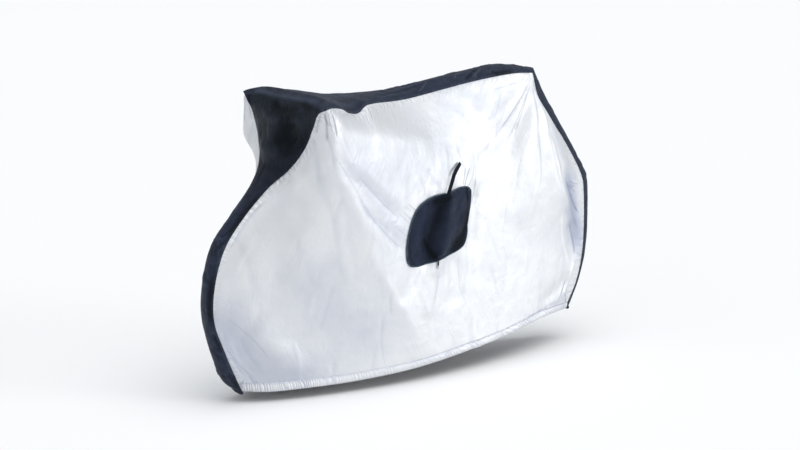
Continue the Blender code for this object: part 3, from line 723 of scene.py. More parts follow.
def crowded(count, low, high, reach):
    """count + 1 places from 0 to 1, closer together near the ends: low and high say how much."""
    t = np.linspace(0.0, 1.0, 2001)
    density = 1 + low * np.exp(-t / reach) + high * np.exp(-(1 - t) / reach)
    total = np.concatenate([[0.0], np.cumsum((density[1:] + density[:-1]) / 2)])
    return np.interp(np.linspace(0.0, total[-1], count + 1), total, t)


# %% [markdown]
# ## The film between seams and hem
#
# A stretched film settles where every point is the mean of its neighbours. Solving it first on a
# coarse grid and then on finer ones is quick. Supports push it out where they touch, and a
# little stiffness lets it billow.

# %% Film


def doubled(values):
    """A grid with one new line of points between each two, at their means."""
    for axis in (0, 1):
        values = np.moveaxis(values, axis, 0)
        wide = np.empty((2 * len(values) - 1, values.shape[1]))
        wide[::2] = values
        wide[1::2] = (values[1:] + values[:-1]) / 2
        values = np.moveaxis(wide, 0, axis)
    return values


def held_out(x, z, side):
    """How far out the supports hold each point, at least."""
    level = np.full_like(x, -1.0)
    for rest in (s for s in SUPPORTS if side in s.sides):
        _, inside, distance = near_mark(x, z, rest)
        top = rest.out0 + inside * (rest.out1 - rest.out0)
        sag = 0.25 * distance**2 / rest.radius
        level = np.maximum(level, np.where(distance < rest.radius, top - sag, -1.0))
    return level


def settle(grid, floor_level, push, rounds):
    """Moves each inner point to its neighbours' mean and onto the supports, many times."""
    for _ in range(rounds):
        mean = (grid[:-2, 1:-1] + grid[2:, 1:-1] + grid[1:-1, :-2] + grid[1:-1, 2:]) / 4
        grid[1:-1, 1:-1] = np.maximum(mean + push, floor_level[1:-1, 1:-1])


def stretched(x, out, z, side):
    """The film's distance from the middle plane, found on a coarse grid and then on finer ones."""
    columns, height = x.shape[0] - 1, x.shape[1] - 1
    coarse = None
    for step in (8, 4, 2, 1):
        grid = out[::step, ::step].copy()
        if coarse is not None:
            grid[1:-1, 1:-1] = doubled(coarse)[1:-1, 1:-1]
        level = held_out(x[::step, ::step], z[::step, ::step], side)
        push = BILLOW * 2.0 * step**2 / (columns * height)
        settle(grid, level, push, 1200 if coarse is None else 300)
        coarse = grid
    settle(coarse, np.full_like(coarse, -1.0), 0.0, SOFTENING)
    return coarse


def film(side):
    """The film of one side as a grid of x, out and z, front to rear and hem to top."""
    columns, height = PANEL_COLUMNS * FINE, PANEL_ROWS * FINE
    seam = BAND_ROWS[:, [2, 4, 3]]
    front, top = seam[: height + 1], seam[height : height + columns + 1]
    rear = seam[height + columns :][::-1]
    hem = spline([front[0]] + [(p.x, p.half_width, p.z) for p in HEM] + [rear[0]], columns)
    u = np.linspace(0.0, 1.0, columns + 1)[:, None, None]
    v = np.linspace(0.0, 1.0, height + 1)[None, :, None]
    flat = (
        (1 - u) * front[None] + u * rear[None] + (1 - v) * hem[:, None] + v * top[:, None]
        - (1 - u) * (1 - v) * front[0] - u * (1 - v) * rear[0] - (1 - u) * v * top[0] - u * v * top[-1]
    )
    flat[..., 1] = stretched(flat[..., 0], flat[..., 1], flat[..., 2], side)
    return flat


FILMS = {side: film(side) for side in "NF"}
print("film grids:", {side: grid.shape for side, grid in FILMS.items()})

# %% [markdown]
# ## Big folds of the side panels
#
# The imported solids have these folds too, and six of them are shallower here: the ridge the pocket
# hangs on, the long creases from the handlebar's end, the pulls from the saddle's corner and the
# facets behind the rear wheel. Each is a soft ridge or trough along a straight line, and it fades
# at the seams.

# %% Big folds
Fold = namedtuple("Fold", "place sides x0 z0 x1 z1 spread height")
FOLDS = [Fold(*row) for row in (
    ("pocket ridge", "N", .65, .78, .56, .42, .042, .02),
    ("pocket hollow", "N", .575, .72, .5, .45, .04, -.009),
    ("pocket rear hollow", "N", .8, .74, .76, .47, .035, -.01),
    ("under pocket ridge", "N", .56, .45, .53, .25, .035, .007),
    ("under pocket hollow", "N", .66, .48, .69, .27, .04, -.006),
    ("before pocket hollow", "N", .47, .47, .4, .32, .035, -.006),
    ("bar crease low", "NF", .06, .93, .42, .52, .028, -.006),
    ("bar crease high", "NF", .17, .85, .4, .64, .026, -.004),
    ("bar drop", "N", .02, .9, -.02, .42, .07, .01),
    ("under far lever", "F", .04, .905, -.08, .74, .06, -.036),
    ("bar drop hollow", "NF", -.06, .78, -.12, .33, .05, -.007),
    ("saddle pull", "NF", 1.12, 1.075, .84, .83, .04, .009),
    ("saddle crease", "NF", 1.125, 1.095, .764, .798, .024, -.0035),
    ("saddle crease low", "NF", 1.12, 1.06, .96, .78, .03, -.004),
    ("saddle drop", "NF", 1.11, 1.0, 1.02, .52, .06, .008),
    ("rear facet", "NF", 1.283, .73, 1.413, .516, .03, -.01),
    ("rear tyre hollow", "NF", 1.34, .5, 1.395, .33, .035, -.009),
    ("rear corner", "NF", 1.36, .26, 1.18, .18, .036, -.009),
    ("front shoulder", "NF", -.13, .73, -.275, .54, .022, -.006),
    ("front heel", "NF", -.29, .31, -.16, .075, .026, -.006),
    ("front heel ridge", "NF", -.19, .3, .0, .1, .05, .01),
    ("far chain side", "F", .76, .9, .6, .3, .08, .012),
    ("far hollow", "F", .52, .86, .42, .34, .06, -.01),
)]


def with_folds(grid, u, v, side):
    """Lays the table's big folds over a film grid; u and v run from 0 to 1 across it."""
    x, z = grid[..., 0], grid[..., 2]
    fade = smooth_step(16 * u) * smooth_step(16 * (1 - u)) * smooth_step(12 * v) * smooth_step(12 * (1 - v))
    for fold in (f for f in FOLDS if side in f.sides):
        along, _, distance = near_mark(x, z, fold)
        taper = smooth_step(along * 4 + 0.3) * smooth_step((1 - along) * 4 + 0.3)
        grid[..., 1] += fold.height * np.exp(-((distance / fold.spread) ** 2)) * taper * fade
    return grid


print("big folds:", len(FOLDS))

# %% [markdown]
# ## Creases, from firm to faint
#
# Over the big folds lie the creases that light picks out. A **sharp** one has a crest like a
# folded sheet's, a **soft** one is rounded, a **lip** rises on one side and dips on the other,
# where the cloth turns, and a **tent** is two slopes that meet in a ridge, one wider than the other.
# Every one is a bent line of points on the panel. Its width says how far it reaches to each side,
# and troughs have a negative height.

# %% Main creases
Crease = namedtuple("Crease", "place line width height kind sides", defaults=("sharp", "NF"))
CREASES = [Crease(*row) for row in (
    ("bar crest", ((.05, .96), (.1, .85), (.167, .756), (.223, .597)), .03, .004),
    ("bar crest low", ((.223, .597), (.317, .43), (.416, .298), (.52, .133)), .045, .004),
    ("bar line", ((.043, .939), (.089, .871), (.218, .711), (.328, .619), (.418, .521)), .016, -.0026),
    ("bar line lip", ((.1, .85), (.2, .735), (.3, .645), (.4, .545)), .018, .0012, "lip", "N"),
    ("upper bar line", ((.17, .847), (.267, .76), (.39, .649)), .014, -.0018),
    ("upper bar fold", ((.14, .905), (.25, .83), (.36, .74), (.43, .69)), .022, .0012, "sharp", "N"),
    ("pocket pull a", ((.4, .7), (.46, .668), (.5, .63)), .01, -.0016, "sharp", "N"),
    ("pocket pull b", ((.36, .63), (.41, .6), (.44, .575)), .011, -.0014, "sharp", "N"),
    ("pocket pull c", ((.37, .53), (.41, .515), (.44, .5)), .01, .0012, "sharp", "N"),
    ("pocket pull d", ((.47, .8), (.51, .745), (.53, .715)), .012, .0024, "sharp", "N"),
    ("pocket pull e", ((.54, .83), (.575, .78), (.6, .735)), .014, -.0022, "soft", "N"),
    ("strap fold", ((.66, .9), (.655, .83), (.64, .75)), .016, .003, "sharp", "N"),
    ("strap fold rear", ((.72, .9), (.745, .82), (.76, .75)), .012, -.0028, "sharp", "N"),
    ("strap tension a", ((.8, .85), (.785, .78), (.768, .72)), .008, .0028, "sharp", "N"),
    ("strap tension b", ((.83, .84), (.808, .76), (.79, .69)), .008, -.0026, "sharp", "N"),
    ("strap tension c", ((.85, .8), (.828, .73), (.808, .66)), .009, .0024, "sharp", "N"),
    ("strap tension d", ((.8, .7), (.79, .66), (.785, .63)), .007, -.0022, "sharp", "N"),
    ("under pocket a", ((.59, .423), (.575, .35), (.555, .274)), .013, -.0018, "sharp", "N"),
    ("under pocket b", ((.692, .475), (.705, .4), (.715, .285)), .018, -.0012, "soft", "N"),
    ("under pocket c", ((.494, .448), (.475, .41), (.45, .37)), .012, -.0016, "sharp", "N"),
    ("under pocket d", ((.63, .46), (.635, .38), (.62, .3)), .016, .0014, "sharp", "N"),
    ("under pocket e", ((.53, .44), (.515, .36), (.49, .27)), .014, .0014, "sharp", "N"),
    ("saddle fan a", ((1.117, 1.098), (1.022, .99), (.894, .879), (.764, .798)), .016, -.0022),
    ("saddle fan b", ((1.127, 1.089), (1.086, .996), (1.018, .912), (.96, .83)), .016, -.0022),
    ("saddle fan c", ((1.13, 1.081), (1.129, .901), (1.143, .68)), .018, -.0018),
    ("saddle fan d", ((1.12, 1.075), (1.07, .99), (.97, .88)), .022, .0016),
    ("saddle fan e", ((1.08, 1.08), (.98, 1.0), (.86, .93)), .02, .0014),
    ("saddle fan f", ((1.128, 1.06), (1.1, .93), (1.06, .8)), .02, .0014),
    ("rear crest", ((1.141, 1.103), (1.158, .988), (1.2, .872), (1.22, .77), (1.262, .662), (1.322, .57),
     (1.385, .48)), .115, .029, "tent"),
    ("rear crest line", ((1.165, .94), (1.2, .83), (1.225, .73), (1.27, .62)), .01, -.0026),
    ("rear facet", ((1.283, .703), (1.33, .62), (1.413, .516)), .018, -.006),
    ("rear facet low", ((1.3, .6), (1.346, .485), (1.392, .351)), .03, -.005, "soft"),
    ("rear facet edge", ((1.275, .56), (1.3, .44), (1.345, .33), (1.365, .28)), .012, .0036),
    ("rear crinkle", ((1.3, .685), (1.345, .66), (1.39, .668)), .01, .0045),
    ("rear crinkle low", ((1.31, .655), (1.36, .64)), .01, -.0035),
    ("rear hem crease", ((1.385, .33), (1.35, .24), (1.325, .18)), .012, .004),
    ("rear corner crease", ((1.307, .175), (1.18, .16), (1.05, .14)), .016, -.003),
    ("heel line", ((-.285, .3), (-.267, .208), (-.18, .078)), .013, -.0026),
    ("heel line rear", ((-.235, .29), (-.202, .209), (-.138, .118)), .014, -.002),
    ("heel crest", ((-.27, .26), (-.22, .17), (-.155, .085)), .014, .0018),
    ("heel bend", ((-.21, .27), (-.1, .215), (-.02, .2)), .03, .003, "soft"),
    ("front bottom fold", ((-.19, .11), (-.16, .075), (-.13, .055)), .008, -.003),
    ("shoulder line", ((-.1, .765), (-.142, .723), (-.205, .649), (-.268, .564)), .012, -.003),
    ("shoulder fold", ((-.15, .66), (-.21, .56), (-.26, .46)), .02, .0022),
    ("grip drop a", ((.03, 1.03), (.05, .95), (.066, .88)), .01, -.0036),
    ("grip drop b", ((.012, 1.02), (.019, .94), (.025, .8)), .014, -.0034),
    ("grip drop c", ((-.005, .99), (-.01, .9), (-.03, .78)), .014, .003),
    ("grip drop d", ((.075, 1.03), (.11, .95), (.15, .88)), .014, .0028),
)]


def bent_line(points):
    """A smooth line of close points through the given ones."""
    points = np.asarray(points, float)
    if len(points) == 2:
        return np.linspace(points[0], points[1], 9)
    return spline(np.pad(points, ((0, 0), (0, 2))), 8 * (len(points) - 1))[:, :2]


def near_line(x, z, line):
    """How far along the line each point lies, 0 to 1, and its distance, positive on the line's left."""
    steps = np.hypot(*np.diff(line, axis=0).T)
    start = np.concatenate([[0.0], np.cumsum(steps)])
    best = np.full_like(x, 9.0)
    along = np.zeros_like(x)
    side = np.ones_like(x)
    for k, ((x0, z0), (x1, z1)) in enumerate(zip(line[:-1], line[1:])):
        part, across = along_segment(x, z, x0, z0, x1, z1)
        inside = np.clip(part, 0.0, 1.0)
        distance = np.hypot(x - x0 - inside * (x1 - x0), z - z0 - inside * (z1 - z0))
        closer = distance < best
        best = np.where(closer, distance, best)
        along = np.where(closer, start[k] + inside * steps[k], along)
        side = np.where(closer, np.sign(across) + (across == 0), side)
    return along / start[-1], best * side


def crease_height(x, z, crease, taper_ends=(True, True)):
    """The height that one crease adds at each point."""
    low_x, high_x = min(p[0] for p in crease.line), max(p[0] for p in crease.line)
    low_z, high_z = min(p[1] for p in crease.line), max(p[1] for p in crease.line)
    reach = 4.0 * crease.width
    near = (x > low_x - reach) & (x < high_x + reach) & (z > low_z - reach) & (z < high_z + reach)
    height = np.zeros_like(x)
    if not near.any():
        return height
    along, distance = near_line(x[near], z[near], bent_line(crease.line))
    ratio = distance / crease.width
    if crease.kind == "soft":
        shape = np.exp(-ratio**2)
    elif crease.kind == "tent":
        ratio = np.where(ratio < 0, ratio / 2.2, ratio)
        shape = np.clip(1.02 - np.sqrt(ratio**2 + 0.0004), 0.0, 1.0) ** 1.15
    elif crease.kind == "lip":
        shape = 2.33 * ratio * np.exp(-ratio**2)
    else:
        crest = 0.12
        shape = np.exp(-(np.sqrt(ratio**2 + crest**2) - crest) * 1.5) * np.exp(-((ratio / 2.4) ** 2))
    taper = np.ones_like(along)
    if taper_ends[0]:
        taper *= smooth_step(along * 4 + 0.05)
    if taper_ends[1]:
        taper *= smooth_step((1 - along) * 3 + 0.02)
    height[near] = crease.height * shape * taper
    return height


print("main creases:", len(CREASES))

# %% [markdown]
# ## Drapes, gathers and crumples
#
# A hanging cloth has many faint upright drapes. They are too many to list, so they are scattered by
# a seeded random generator, which gives the same drapes on every run. A sewn seam or an elastic hem
# gathers the cloth: the table says how much, how far in and with what lean along each edge, and the
# material makes the short folds from it. Crumples are the flat facets of cloth that was packed
# small, made with Voronoi noise, whose cells meet in faint straight ridges. The band and the pocket
# have them. The noise that bends their cells has no seed, so they differ a little on every run.

# %% Scattered folds
DRAPES = 78
GENERATOR = np.random.RandomState(41)


def scattered_drapes(side):
    """Faint near-upright creases all over a panel."""
    drapes = []
    for _ in range(DRAPES):
        x, z = GENERATOR.uniform(-0.28, 1.38), GENERATOR.uniform(0.12, 0.98)
        long = GENERATOR.uniform(0.10, 0.34)
        lean = GENERATOR.normal(0.10 if x < 0.6 else -0.10, 0.22)
        bow = GENERATOR.normal(0.0, 0.06) * long
        line = ((x, z), (x + 0.5 * lean * long + bow, z - 0.5 * long), (x + lean * long, z - long))
        height = GENERATOR.uniform(0.0006, 0.0018) * GENERATOR.choice((-1, 1))
        kind = GENERATOR.choice(("soft", "sharp", "sharp"))
        drapes.append(Crease("drape", line, GENERATOR.uniform(0.009, 0.022), height, kind, side))
    return drapes


Gather = namedtuple("Gather", "edge at amount reach lean")
GATHERS = [Gather(*row) for row in (
    ("front", .0, .6, .03, .1), ("front", .3, .35, .02, .1), ("front", .55, .55, .026, -.6),
    ("front", .8, .85, .036, -.7), ("front", 1.0, 1.0, .07, .0), ("top", .0, 1.0, .085, .2),
    ("top", .1, .65, .04, .4), ("top", .22, .6, .04, .4), ("top", .34, .5, .032, .2),
    ("top", .8, .25, .024, .0), ("top", 1.0, .6, .06, .0), ("rear", .0, 1.0, .06, .0),
    ("rear", .15, .8, .04, .3), ("rear", .5, .45, .034, .2), ("rear", 1.0, .4, .03, .0),
    ("hem", .0, 1.0, .05, .0), ("hem", .12, .8, .034, .0), ("hem", .3, .35, .022, .3),
    ("hem", .7, .6, .026, .6), ("hem", .92, 1.0, .05, .3), ("hem", 1.0, 1.0, .07, .0),
)]


def gathered(edges):
    """The place along the nearest gathered edge, leaning with the folds, and how much they show."""
    shown, place = [], []
    for number, (name, (away, run, total)) in enumerate(edges.items()):
        rows = [row for row in GATHERS if row.edge == name]
        at = [row.at for row in rows]
        amount, reach, lean = (np.interp(run / total, at, column) for column in list(zip(*rows))[2:])
        shown.append(amount * np.exp(-1.4 * (away / reach) ** 2))
        place.append(3.0 * number + run - lean * away)
    shown, place = np.array(shown), np.array(place)
    first = shown.argmax(axis=0)[None]
    return np.take_along_axis(place, first, 0)[0], np.take_along_axis(shown, first, 0)[0]


# Painted shade: places on the side panels, darkened where folds lean away from the light or lie deep.
PANEL_SHADES = [Crease(*row) for row in (
    ("heel", ((-.36, .46), (-.26, .28), (-.19, .17), (-.1, .1), (.04, .06), (.22, .05)), .095, .32, "soft"),
    ("rear facet", ((1.29, .76), (1.335, .62), (1.38, .5), (1.405, .39), (1.4, .28)),
     .044, .5, "soft", "N"),
    ("rear facet far", ((1.28, .76), (1.33, .62), (1.375, .5), (1.375, .38)), .044, .15, "soft", "F"),
    ("rear facet high", ((1.21, .93), (1.25, .84), (1.3, .74), (1.34, .66)), .026, .12, "soft"),
    ("rear corner", ((1.16, .14), (1.24, .155), (1.3, .175), (1.37, .23)), .022, .16, "soft"),
    ("under strap", ((.585, .74), (.61, .79), (.65, .84)), .014, .1, "soft", "N"),
    ("behind grip", ((.08, 1.02), (.13, .95), (.2, .86), (.3, .72), (.38, .56), (.4, .42)),
     .085, .2, "soft", "N"),
    ("front belly", ((.02, .62), (.06, .4), (.16, .28), (.3, .2), (.42, .1)), .125, .17, "soft", "N"),
    ("below saddle", ((.62, 1.05), (.78, 1.02), (.9, 1.02), (1.03, 1.06)), .1, .16, "soft", "N"),
    ("above pocket", ((.28, .84), (.45, .86), (.62, .87), (.8, .86)), .105, .14, "soft", "N"),
)]


def crumples(x, z, seed):
    """Flat facets with faint ridges between them, and finer unevenness."""
    added = np.zeros_like(x)
    flat_x, flat_z, flat = x.ravel(), z.ravel(), added.ravel()
    for k in range(flat.size):
        spot = Vector((flat_x[k] * 9.0, flat_z[k] * 6.5, seed))
        bent = spot + 0.35 * noise.noise_vector(spot * 0.8)
        near = noise.voronoi(bent)[0]
        facet = min(near[1] - near[0], 0.6) - 0.3
        fine = noise.fractal(spot * 3.6, 0.8, 2.1, 3)
        slow = noise.noise(spot * 0.35)
        flat[k] = 0.0020 * facet + 0.00045 * fine + 0.0016 * slow
    return added


print("places with their own gather:", len(GATHERS))

# %% [markdown]
# ## One side panel
#
# The film's grid is read again at places that crowd together near the seams and the hem, where
# the small folds are. Everything above is added to its distance from the middle plane. The last
# centimetre drops a little, so the panel passes under the band as it does in a lapped seam.

# %% Fine panels
COLUMNS, ROWS = 312, 144
LAP_DROP = 0.0015
LAP_REACH = 0.010

POCKET_X, POCKET_Z = 0.594, 0.595
POCKET_HALF_WIDTH, POCKET_TILT = 0.165, math.radians(9.0)
POCKET_HALF_HEIGHT, POCKET_LEAN = 0.124, math.radians(8.0)

Panel = namedtuple("Panel", "side grid u v away seam_run gather shade crest")


def under_pocket(x, z):
    """1 under the pocket and 0 outside it, with a soft edge."""
    across = np.array([math.cos(POCKET_TILT), math.sin(POCKET_TILT)]) * POCKET_HALF_WIDTH
    up = np.array([math.sin(POCKET_LEAN), math.cos(POCKET_LEAN)]) * POCKET_HALF_HEIGHT
    back = np.linalg.inv(np.stack([across, up], axis=1))
    a = back[0, 0] * (x - POCKET_X) + back[0, 1] * (z - POCKET_Z)
    b = back[1, 0] * (x - POCKET_X) + back[1, 1] * (z - POCKET_Z)
    return smooth_step((1.08 - np.maximum(np.abs(a), np.abs(b))) / 0.2)


def fine_panel(side):
    """The outer face of a side panel, with all its folds, in the cover's own lengths."""
    u = crowded(COLUMNS, 1.6, 1.6, 0.05)
    v = crowded(ROWS, 1.2, 1.8, 0.06)
    grid = resampled(resampled(FILMS[side], u, 0), v, 1)
    up, right = v[None, :] + 0 * u[:, None], u[:, None] + 0 * v[None, :]
    run_across = lengths_along(grid, 0)
    run_up = lengths_along(grid, 1)
    from_front, from_rear = run_across, run_across[-1:] - run_across
    from_top = run_up[:, -1:] - run_up
    away = np.minimum(np.minimum(from_front, from_rear), from_top)
    grid = with_folds(grid, right, up, side)
    x, z = grid[..., 0], grid[..., 2]

    added = np.zeros_like(x)
    for crease in CREASES + scattered_drapes(side):
        if side in crease.sides:
            added += crease_height(x, z, crease)
    added *= smooth_step(away / 0.03)
    if side == "N":
        added *= 1 - 0.75 * under_pocket(x, z)
    grid[..., 1] += added
    seam_run, gather = gathered({
        "front": (from_front, run_up, run_up[0, -1]), "top": (from_top, run_across, run_across[-1, -1]),
        "rear": (from_rear, run_up, run_up[-1, -1]), "hem": (run_up, run_across, run_across[-1, 0]),
    })
    # The panel's painted shade, from the table above.
    shade = sum(crease_height(x, z, shadow) for shadow in PANEL_SHADES if side in shadow.sides)
    # Its crest value gives painted shade in the troughs and a painted highlight on the crests.
    return Panel(side, grid, right, up, away, seam_run, gather, shade, relief(added, 0.0013))


PANELS = {side: fine_panel(side) for side in "NF"}
print("fine panel grid:", PANELS["N"].grid.shape)

# %% [markdown]
# ## The band
#
# One long strip of navy cloth runs over the whole cover. Its stations give a ridge in the middle
# and a seam on either side, and the strip bends round from one to the other. Its creases are
# placed by their length along the ridge from the front hem and by their distance across from the
# ridge, negative towards the near side.

# %% Band creases
BAND_CREASES = [Crease(*row) for row in (
    ("front end fold", ((.01, .02), (.035, -.01), (.05, -.05)), .01, -.003),
    ("front low a", ((.127, -.01), (.118, -.035), (.132, -.062)), .01, -.0036),
    ("front low b", ((.207, -.058), (.235, -.052), (.265, -.044)), .01, -.004),
    ("front low c", ((.249, -.055), (.285, -.046), (.325, -.03)), .009, .0034),
    ("front wheel dark", ((.345, -.04), (.4, -.037), (.47, -.04), (.53, -.038)), .01, -.0042, "soft"),
    ("front wheel crest", ((.34, -.022), (.42, -.018), (.52, -.016)), .012, .0022),
    ("shoulder pinch", ((.604, -.005), (.62, -.03), (.64, -.056)), .01, .0046),
    ("shoulder dark a", ((.622, -.02), (.655, -.04), (.695, -.052)), .009, -.0046),
    ("shoulder dark b", ((.65, -.01), (.7, -.03), (.76, -.045)), .008, -.0032),
    ("neck trough", ((.7, -.03), (.773, -.031), (.83, -.02), (.88, .0)), .012, -.0034, "soft"),
    ("shoulder light", ((.65, .025), (.655, .0), (.672, -.028)), .01, .0042),
    ("neck crest", ((.7, .012), (.78, .004), (.86, .02), (.93, .03)), .014, .0026),
    ("neck far trough", ((.72, .035), (.8, .035), (.88, .055)), .012, -.003),
    ("hollow", ((1.135, -.03), (1.101, -.09), (1.078, -.135)), .042, -.022, "soft"),
    ("hollow far", ((1.115, .04), (1.095, .095), (1.09, .135)), .036, -.005, "soft"),
    ("swag a", ((1.185, .13), (1.163, .06), (1.16, -.06), (1.175, -.16)), .02, .007),
    ("swag b", ((1.16, -.01), (1.15, -.07), (1.158, -.135)), .016, -.007, "soft"),
    ("swag c", ((1.228, .07), (1.205, .01), (1.212, -.06), (1.235, -.12)), .018, -.008, "soft"),
    ("swag d", ((1.213, .1), (1.193, .02), (1.192, -.07), (1.213, -.15)), .014, .0056),
    ("swag e", ((1.07, .11), (1.045, .03), (1.045, -.05), (1.06, -.13)), .024, .008, "soft"),
    ("swag f", ((1.01, .09), (.985, .02), (.985, -.05), (1.0, -.11)), .022, -.006, "soft"),
    ("bar edge", ((1.262, .25), (1.243, .1), (1.245, -.05), (1.26, -.25)), .012, .0044),
    ("bar top trough", ((1.3, .2), (1.29, .08), (1.295, -.06), (1.31, -.18)), .02, -.0026, "soft"),
    ("near tip", ((1.19, -.225), (1.22, -.235), (1.255, -.24)), .012, -.004),
    ("far tip", ((1.185, .215), (1.22, .228), (1.262, .232)), .014, -.004),
    ("far tip fold", ((1.262, .2), (1.31, .185), (1.37, .15)), .014, -.004),
    ("lobe crest", ((1.32, -.235), (1.401, -.213), (1.488, -.169), (1.546, -.135)), .016, .0034),
    ("lobe trough", ((1.33, -.205), (1.42, -.175), (1.5, -.135), (1.56, -.1)), .018, -.0034, "soft"),
    ("droop crest", ((1.3, -.1), (1.42, -.06), (1.55, -.04)), .022, .003),
    ("droop trough", ((1.31, -.03), (1.43, .0), (1.56, -.01)), .024, -.003, "soft"),
    ("top line", ((1.62, -.058), (1.72, -.045), (1.8, -.033), (1.87, -.023)), .011, -.003),
    ("top fold", ((1.822, -.066), (1.86, -.045), (1.9, -.012)), .01, .0032),
    ("top ridge", ((1.7, -.02), (1.9, -.012), (2.02, -.006)), .014, .002),
    ("nose diagonal", ((2.05, -.067), (2.114, -.028), (2.145, -.01)), .011, -.0042),
    ("nose diagonal crest", ((2.075, -.068), (2.13, -.038), (2.165, -.015)), .01, .0034),
    ("nose patch", ((2.09, -.064), (2.12, -.06)), .018, .003, "soft"),
    ("saddle smudge", ((2.185, -.05), (2.197, -.062), (2.215, -.08)), .01, -.0038),
    ("saddle low edge", ((2.136, -.06), (2.19, -.07), (2.255, -.078)), .008, -.0026),
    ("saddle front rise", ((2.3, .06), (2.306, .0), (2.3, -.06)), .022, -.003, "soft"),
    ("saddle back fold", ((2.42, .05), (2.425, .0), (2.41, -.05)), .012, .003),
    ("rear pull a", ((2.47, -.04), (2.55, -.022), (2.66, -.01)), .011, -.0034),
    ("rear pull b", ((2.47, .04), (2.56, .02), (2.68, .012)), .011, -.0034),
    ("rear pull c", ((2.5, .0), (2.62, .004), (2.78, -.004)), .014, .0024),
    ("rack fold", ((2.85, .05), (2.875, .0), (2.87, -.05)), .016, -.0036, "soft"),
    ("lamp fold", ((2.95, .045), (2.965, .0), (2.96, -.045)), .014, .003),
    ("rear run", ((3.02, -.015), (3.12, -.006), (3.24, -.018)), .012, -.0028),
    ("rear run far", ((3.05, .02), (3.16, .012), (3.28, .022)), .012, .0024),
    ("rear end a", ((3.36, -.03), (3.43, -.01), (3.49, -.016)), .01, -.003),
    ("rear end b", ((3.39, .03), (3.45, .012), (3.5, .018)), .01, -.003),
)]
# Painted shade: hollows and folds of the band, darkened in colour.
BAND_SHADES = [Crease(*row) for row in (
    ("hollow", ((1.15, .0), (1.105, -.075), (1.07, -.13), (1.04, -.15)), .052, .7, "soft"),
    ("hollow far", ((1.15, .07), (1.12, .095), (1.1, .12)), .034, .2, "soft"),
    ("grip line", ((1.243, -.1), (1.235, -.16), (1.225, -.21)), .014, .35, "soft"),
    ("under bar", ((1.215, .1), (1.195, .02), (1.195, -.07), (1.215, -.14)), .02, .35, "soft"),
    ("wheel front", ((.315, -.04), (.4, -.036), (.47, -.036), (.56, -.036)), .017, .7, "soft"),
    ("shoulder", ((.6, .004), (.612, -.018), (.64, -.044)), .008, .7, "soft"),
    ("neck", ((.655, -.04), (.7, -.044), (.757, -.043), (.835, -.047), (.9, -.07)), .02, .75, "soft"),
    ("low fold a", ((.308, -.036), (.271, -.04), (.212, -.048)), .008, .6, "soft"),
    ("low fold b", ((.235, .0), (.212, -.022), (.185, -.03)), .007, .45, "soft"),
    ("front end", ((.125, -.058), (.07, -.045), (.015, -.034)), .014, .6, "soft"),
    ("front outer", ((.53, .022), (.46, .026), (.36, .024)), .01, .3, "soft"),
    ("below saddle", ((2.17, -.056), (2.22, -.07), (2.3, -.072)), .012, .6, "soft"),
    ("nose", ((2.05, -.067), (2.114, -.028), (2.145, -.01)), .009, .45, "soft"),
    ("droop", ((1.34, -.12), (1.44, -.1), (1.52, -.11)), .02, .35, "soft"),
    ("rear near", ((2.46, -.045), (2.54, -.03), (2.64, -.028)), .012, .5, "soft"),
)]
BAND_DRAPES = 70


def scattered_band_creases(length):
    """Short faint creases all along the band, most of them with its length."""
    found = []
    for _ in range(BAND_DRAPES):
        s = GENERATOR.uniform(0.05, length - 0.05)
        wide = 0.17 if 1.0 < s < 1.55 else 0.045
        a = GENERATOR.uniform(-wide, wide)
        long, turn = GENERATOR.uniform(0.03, 0.10), GENERATOR.normal(0.0, 0.6)
        step = np.array([math.cos(turn), math.sin(turn)]) * long / 2
        bow = np.array([-step[1], step[0]]) * GENERATOR.normal(0.0, 0.25)
        line = ((s - step[0], a - step[1]), (s + bow[0], a + bow[1]), (s + step[0], a + step[1]))
        height = GENERATOR.uniform(0.0010, 0.0028) * GENERATOR.choice((-1, 1))
        found.append(Crease("faint", line, GENERATOR.uniform(0.006, 0.012), height))
    return found


print("band creases:", len(BAND_CREASES))

# %% Band surface
BAND_LENGTHS = (240, 256, 208)
STRIPS = 44
STITCH_INSET = 0.0045
BAR_LIP = 0.034
LIP_START, LIP_RUN, LIP_END, LIP_HALF_WIDTH = 1.243, 0.034, 1.50, 0.275
# Painted shade on the band's front face, from the neck up to its edge at the handlebar.
FRONT_SHADE = 0.62
FRONT_SHADE_START, FRONT_SHADE_END = 0.78, 1.249


def band_surface(rows, strips):
    """The band's outer face: one row of points from the near seam over the ridge to the far seam."""
    across = np.linspace(-1.0, 1.0, strips + 1)
    across = across * (1.12 - 0.12 * across**2)
    ridge_x, ridge_z, seam_x, seam_z, half_width, roundness, bluntness = (c[:, None] for c in rows.T)
    turn = across[None, :] * math.pi / 2
    drop = roundness * (1 - np.cos(turn)) + (1 - roundness) * np.abs(across)[None, :] ** bluntness
    side = roundness * np.sin(turn) + (1 - roundness) * across
    x = ridge_x + drop * (seam_x - ridge_x)
    z = ridge_z + drop * (seam_z - ridge_z)
    return np.stack([x, half_width * side, z], axis=-1)


def unit(vectors):
    return vectors / np.maximum(np.linalg.norm(vectors, axis=-1, keepdims=True), 1e-12)


def grid_normals(grid, outward):
    """Unit normals of a grid of points, on the side that outward, 1 or -1, chooses."""
    return unit(outward * np.cross(np.gradient(grid, axis=0), np.gradient(grid, axis=1)))


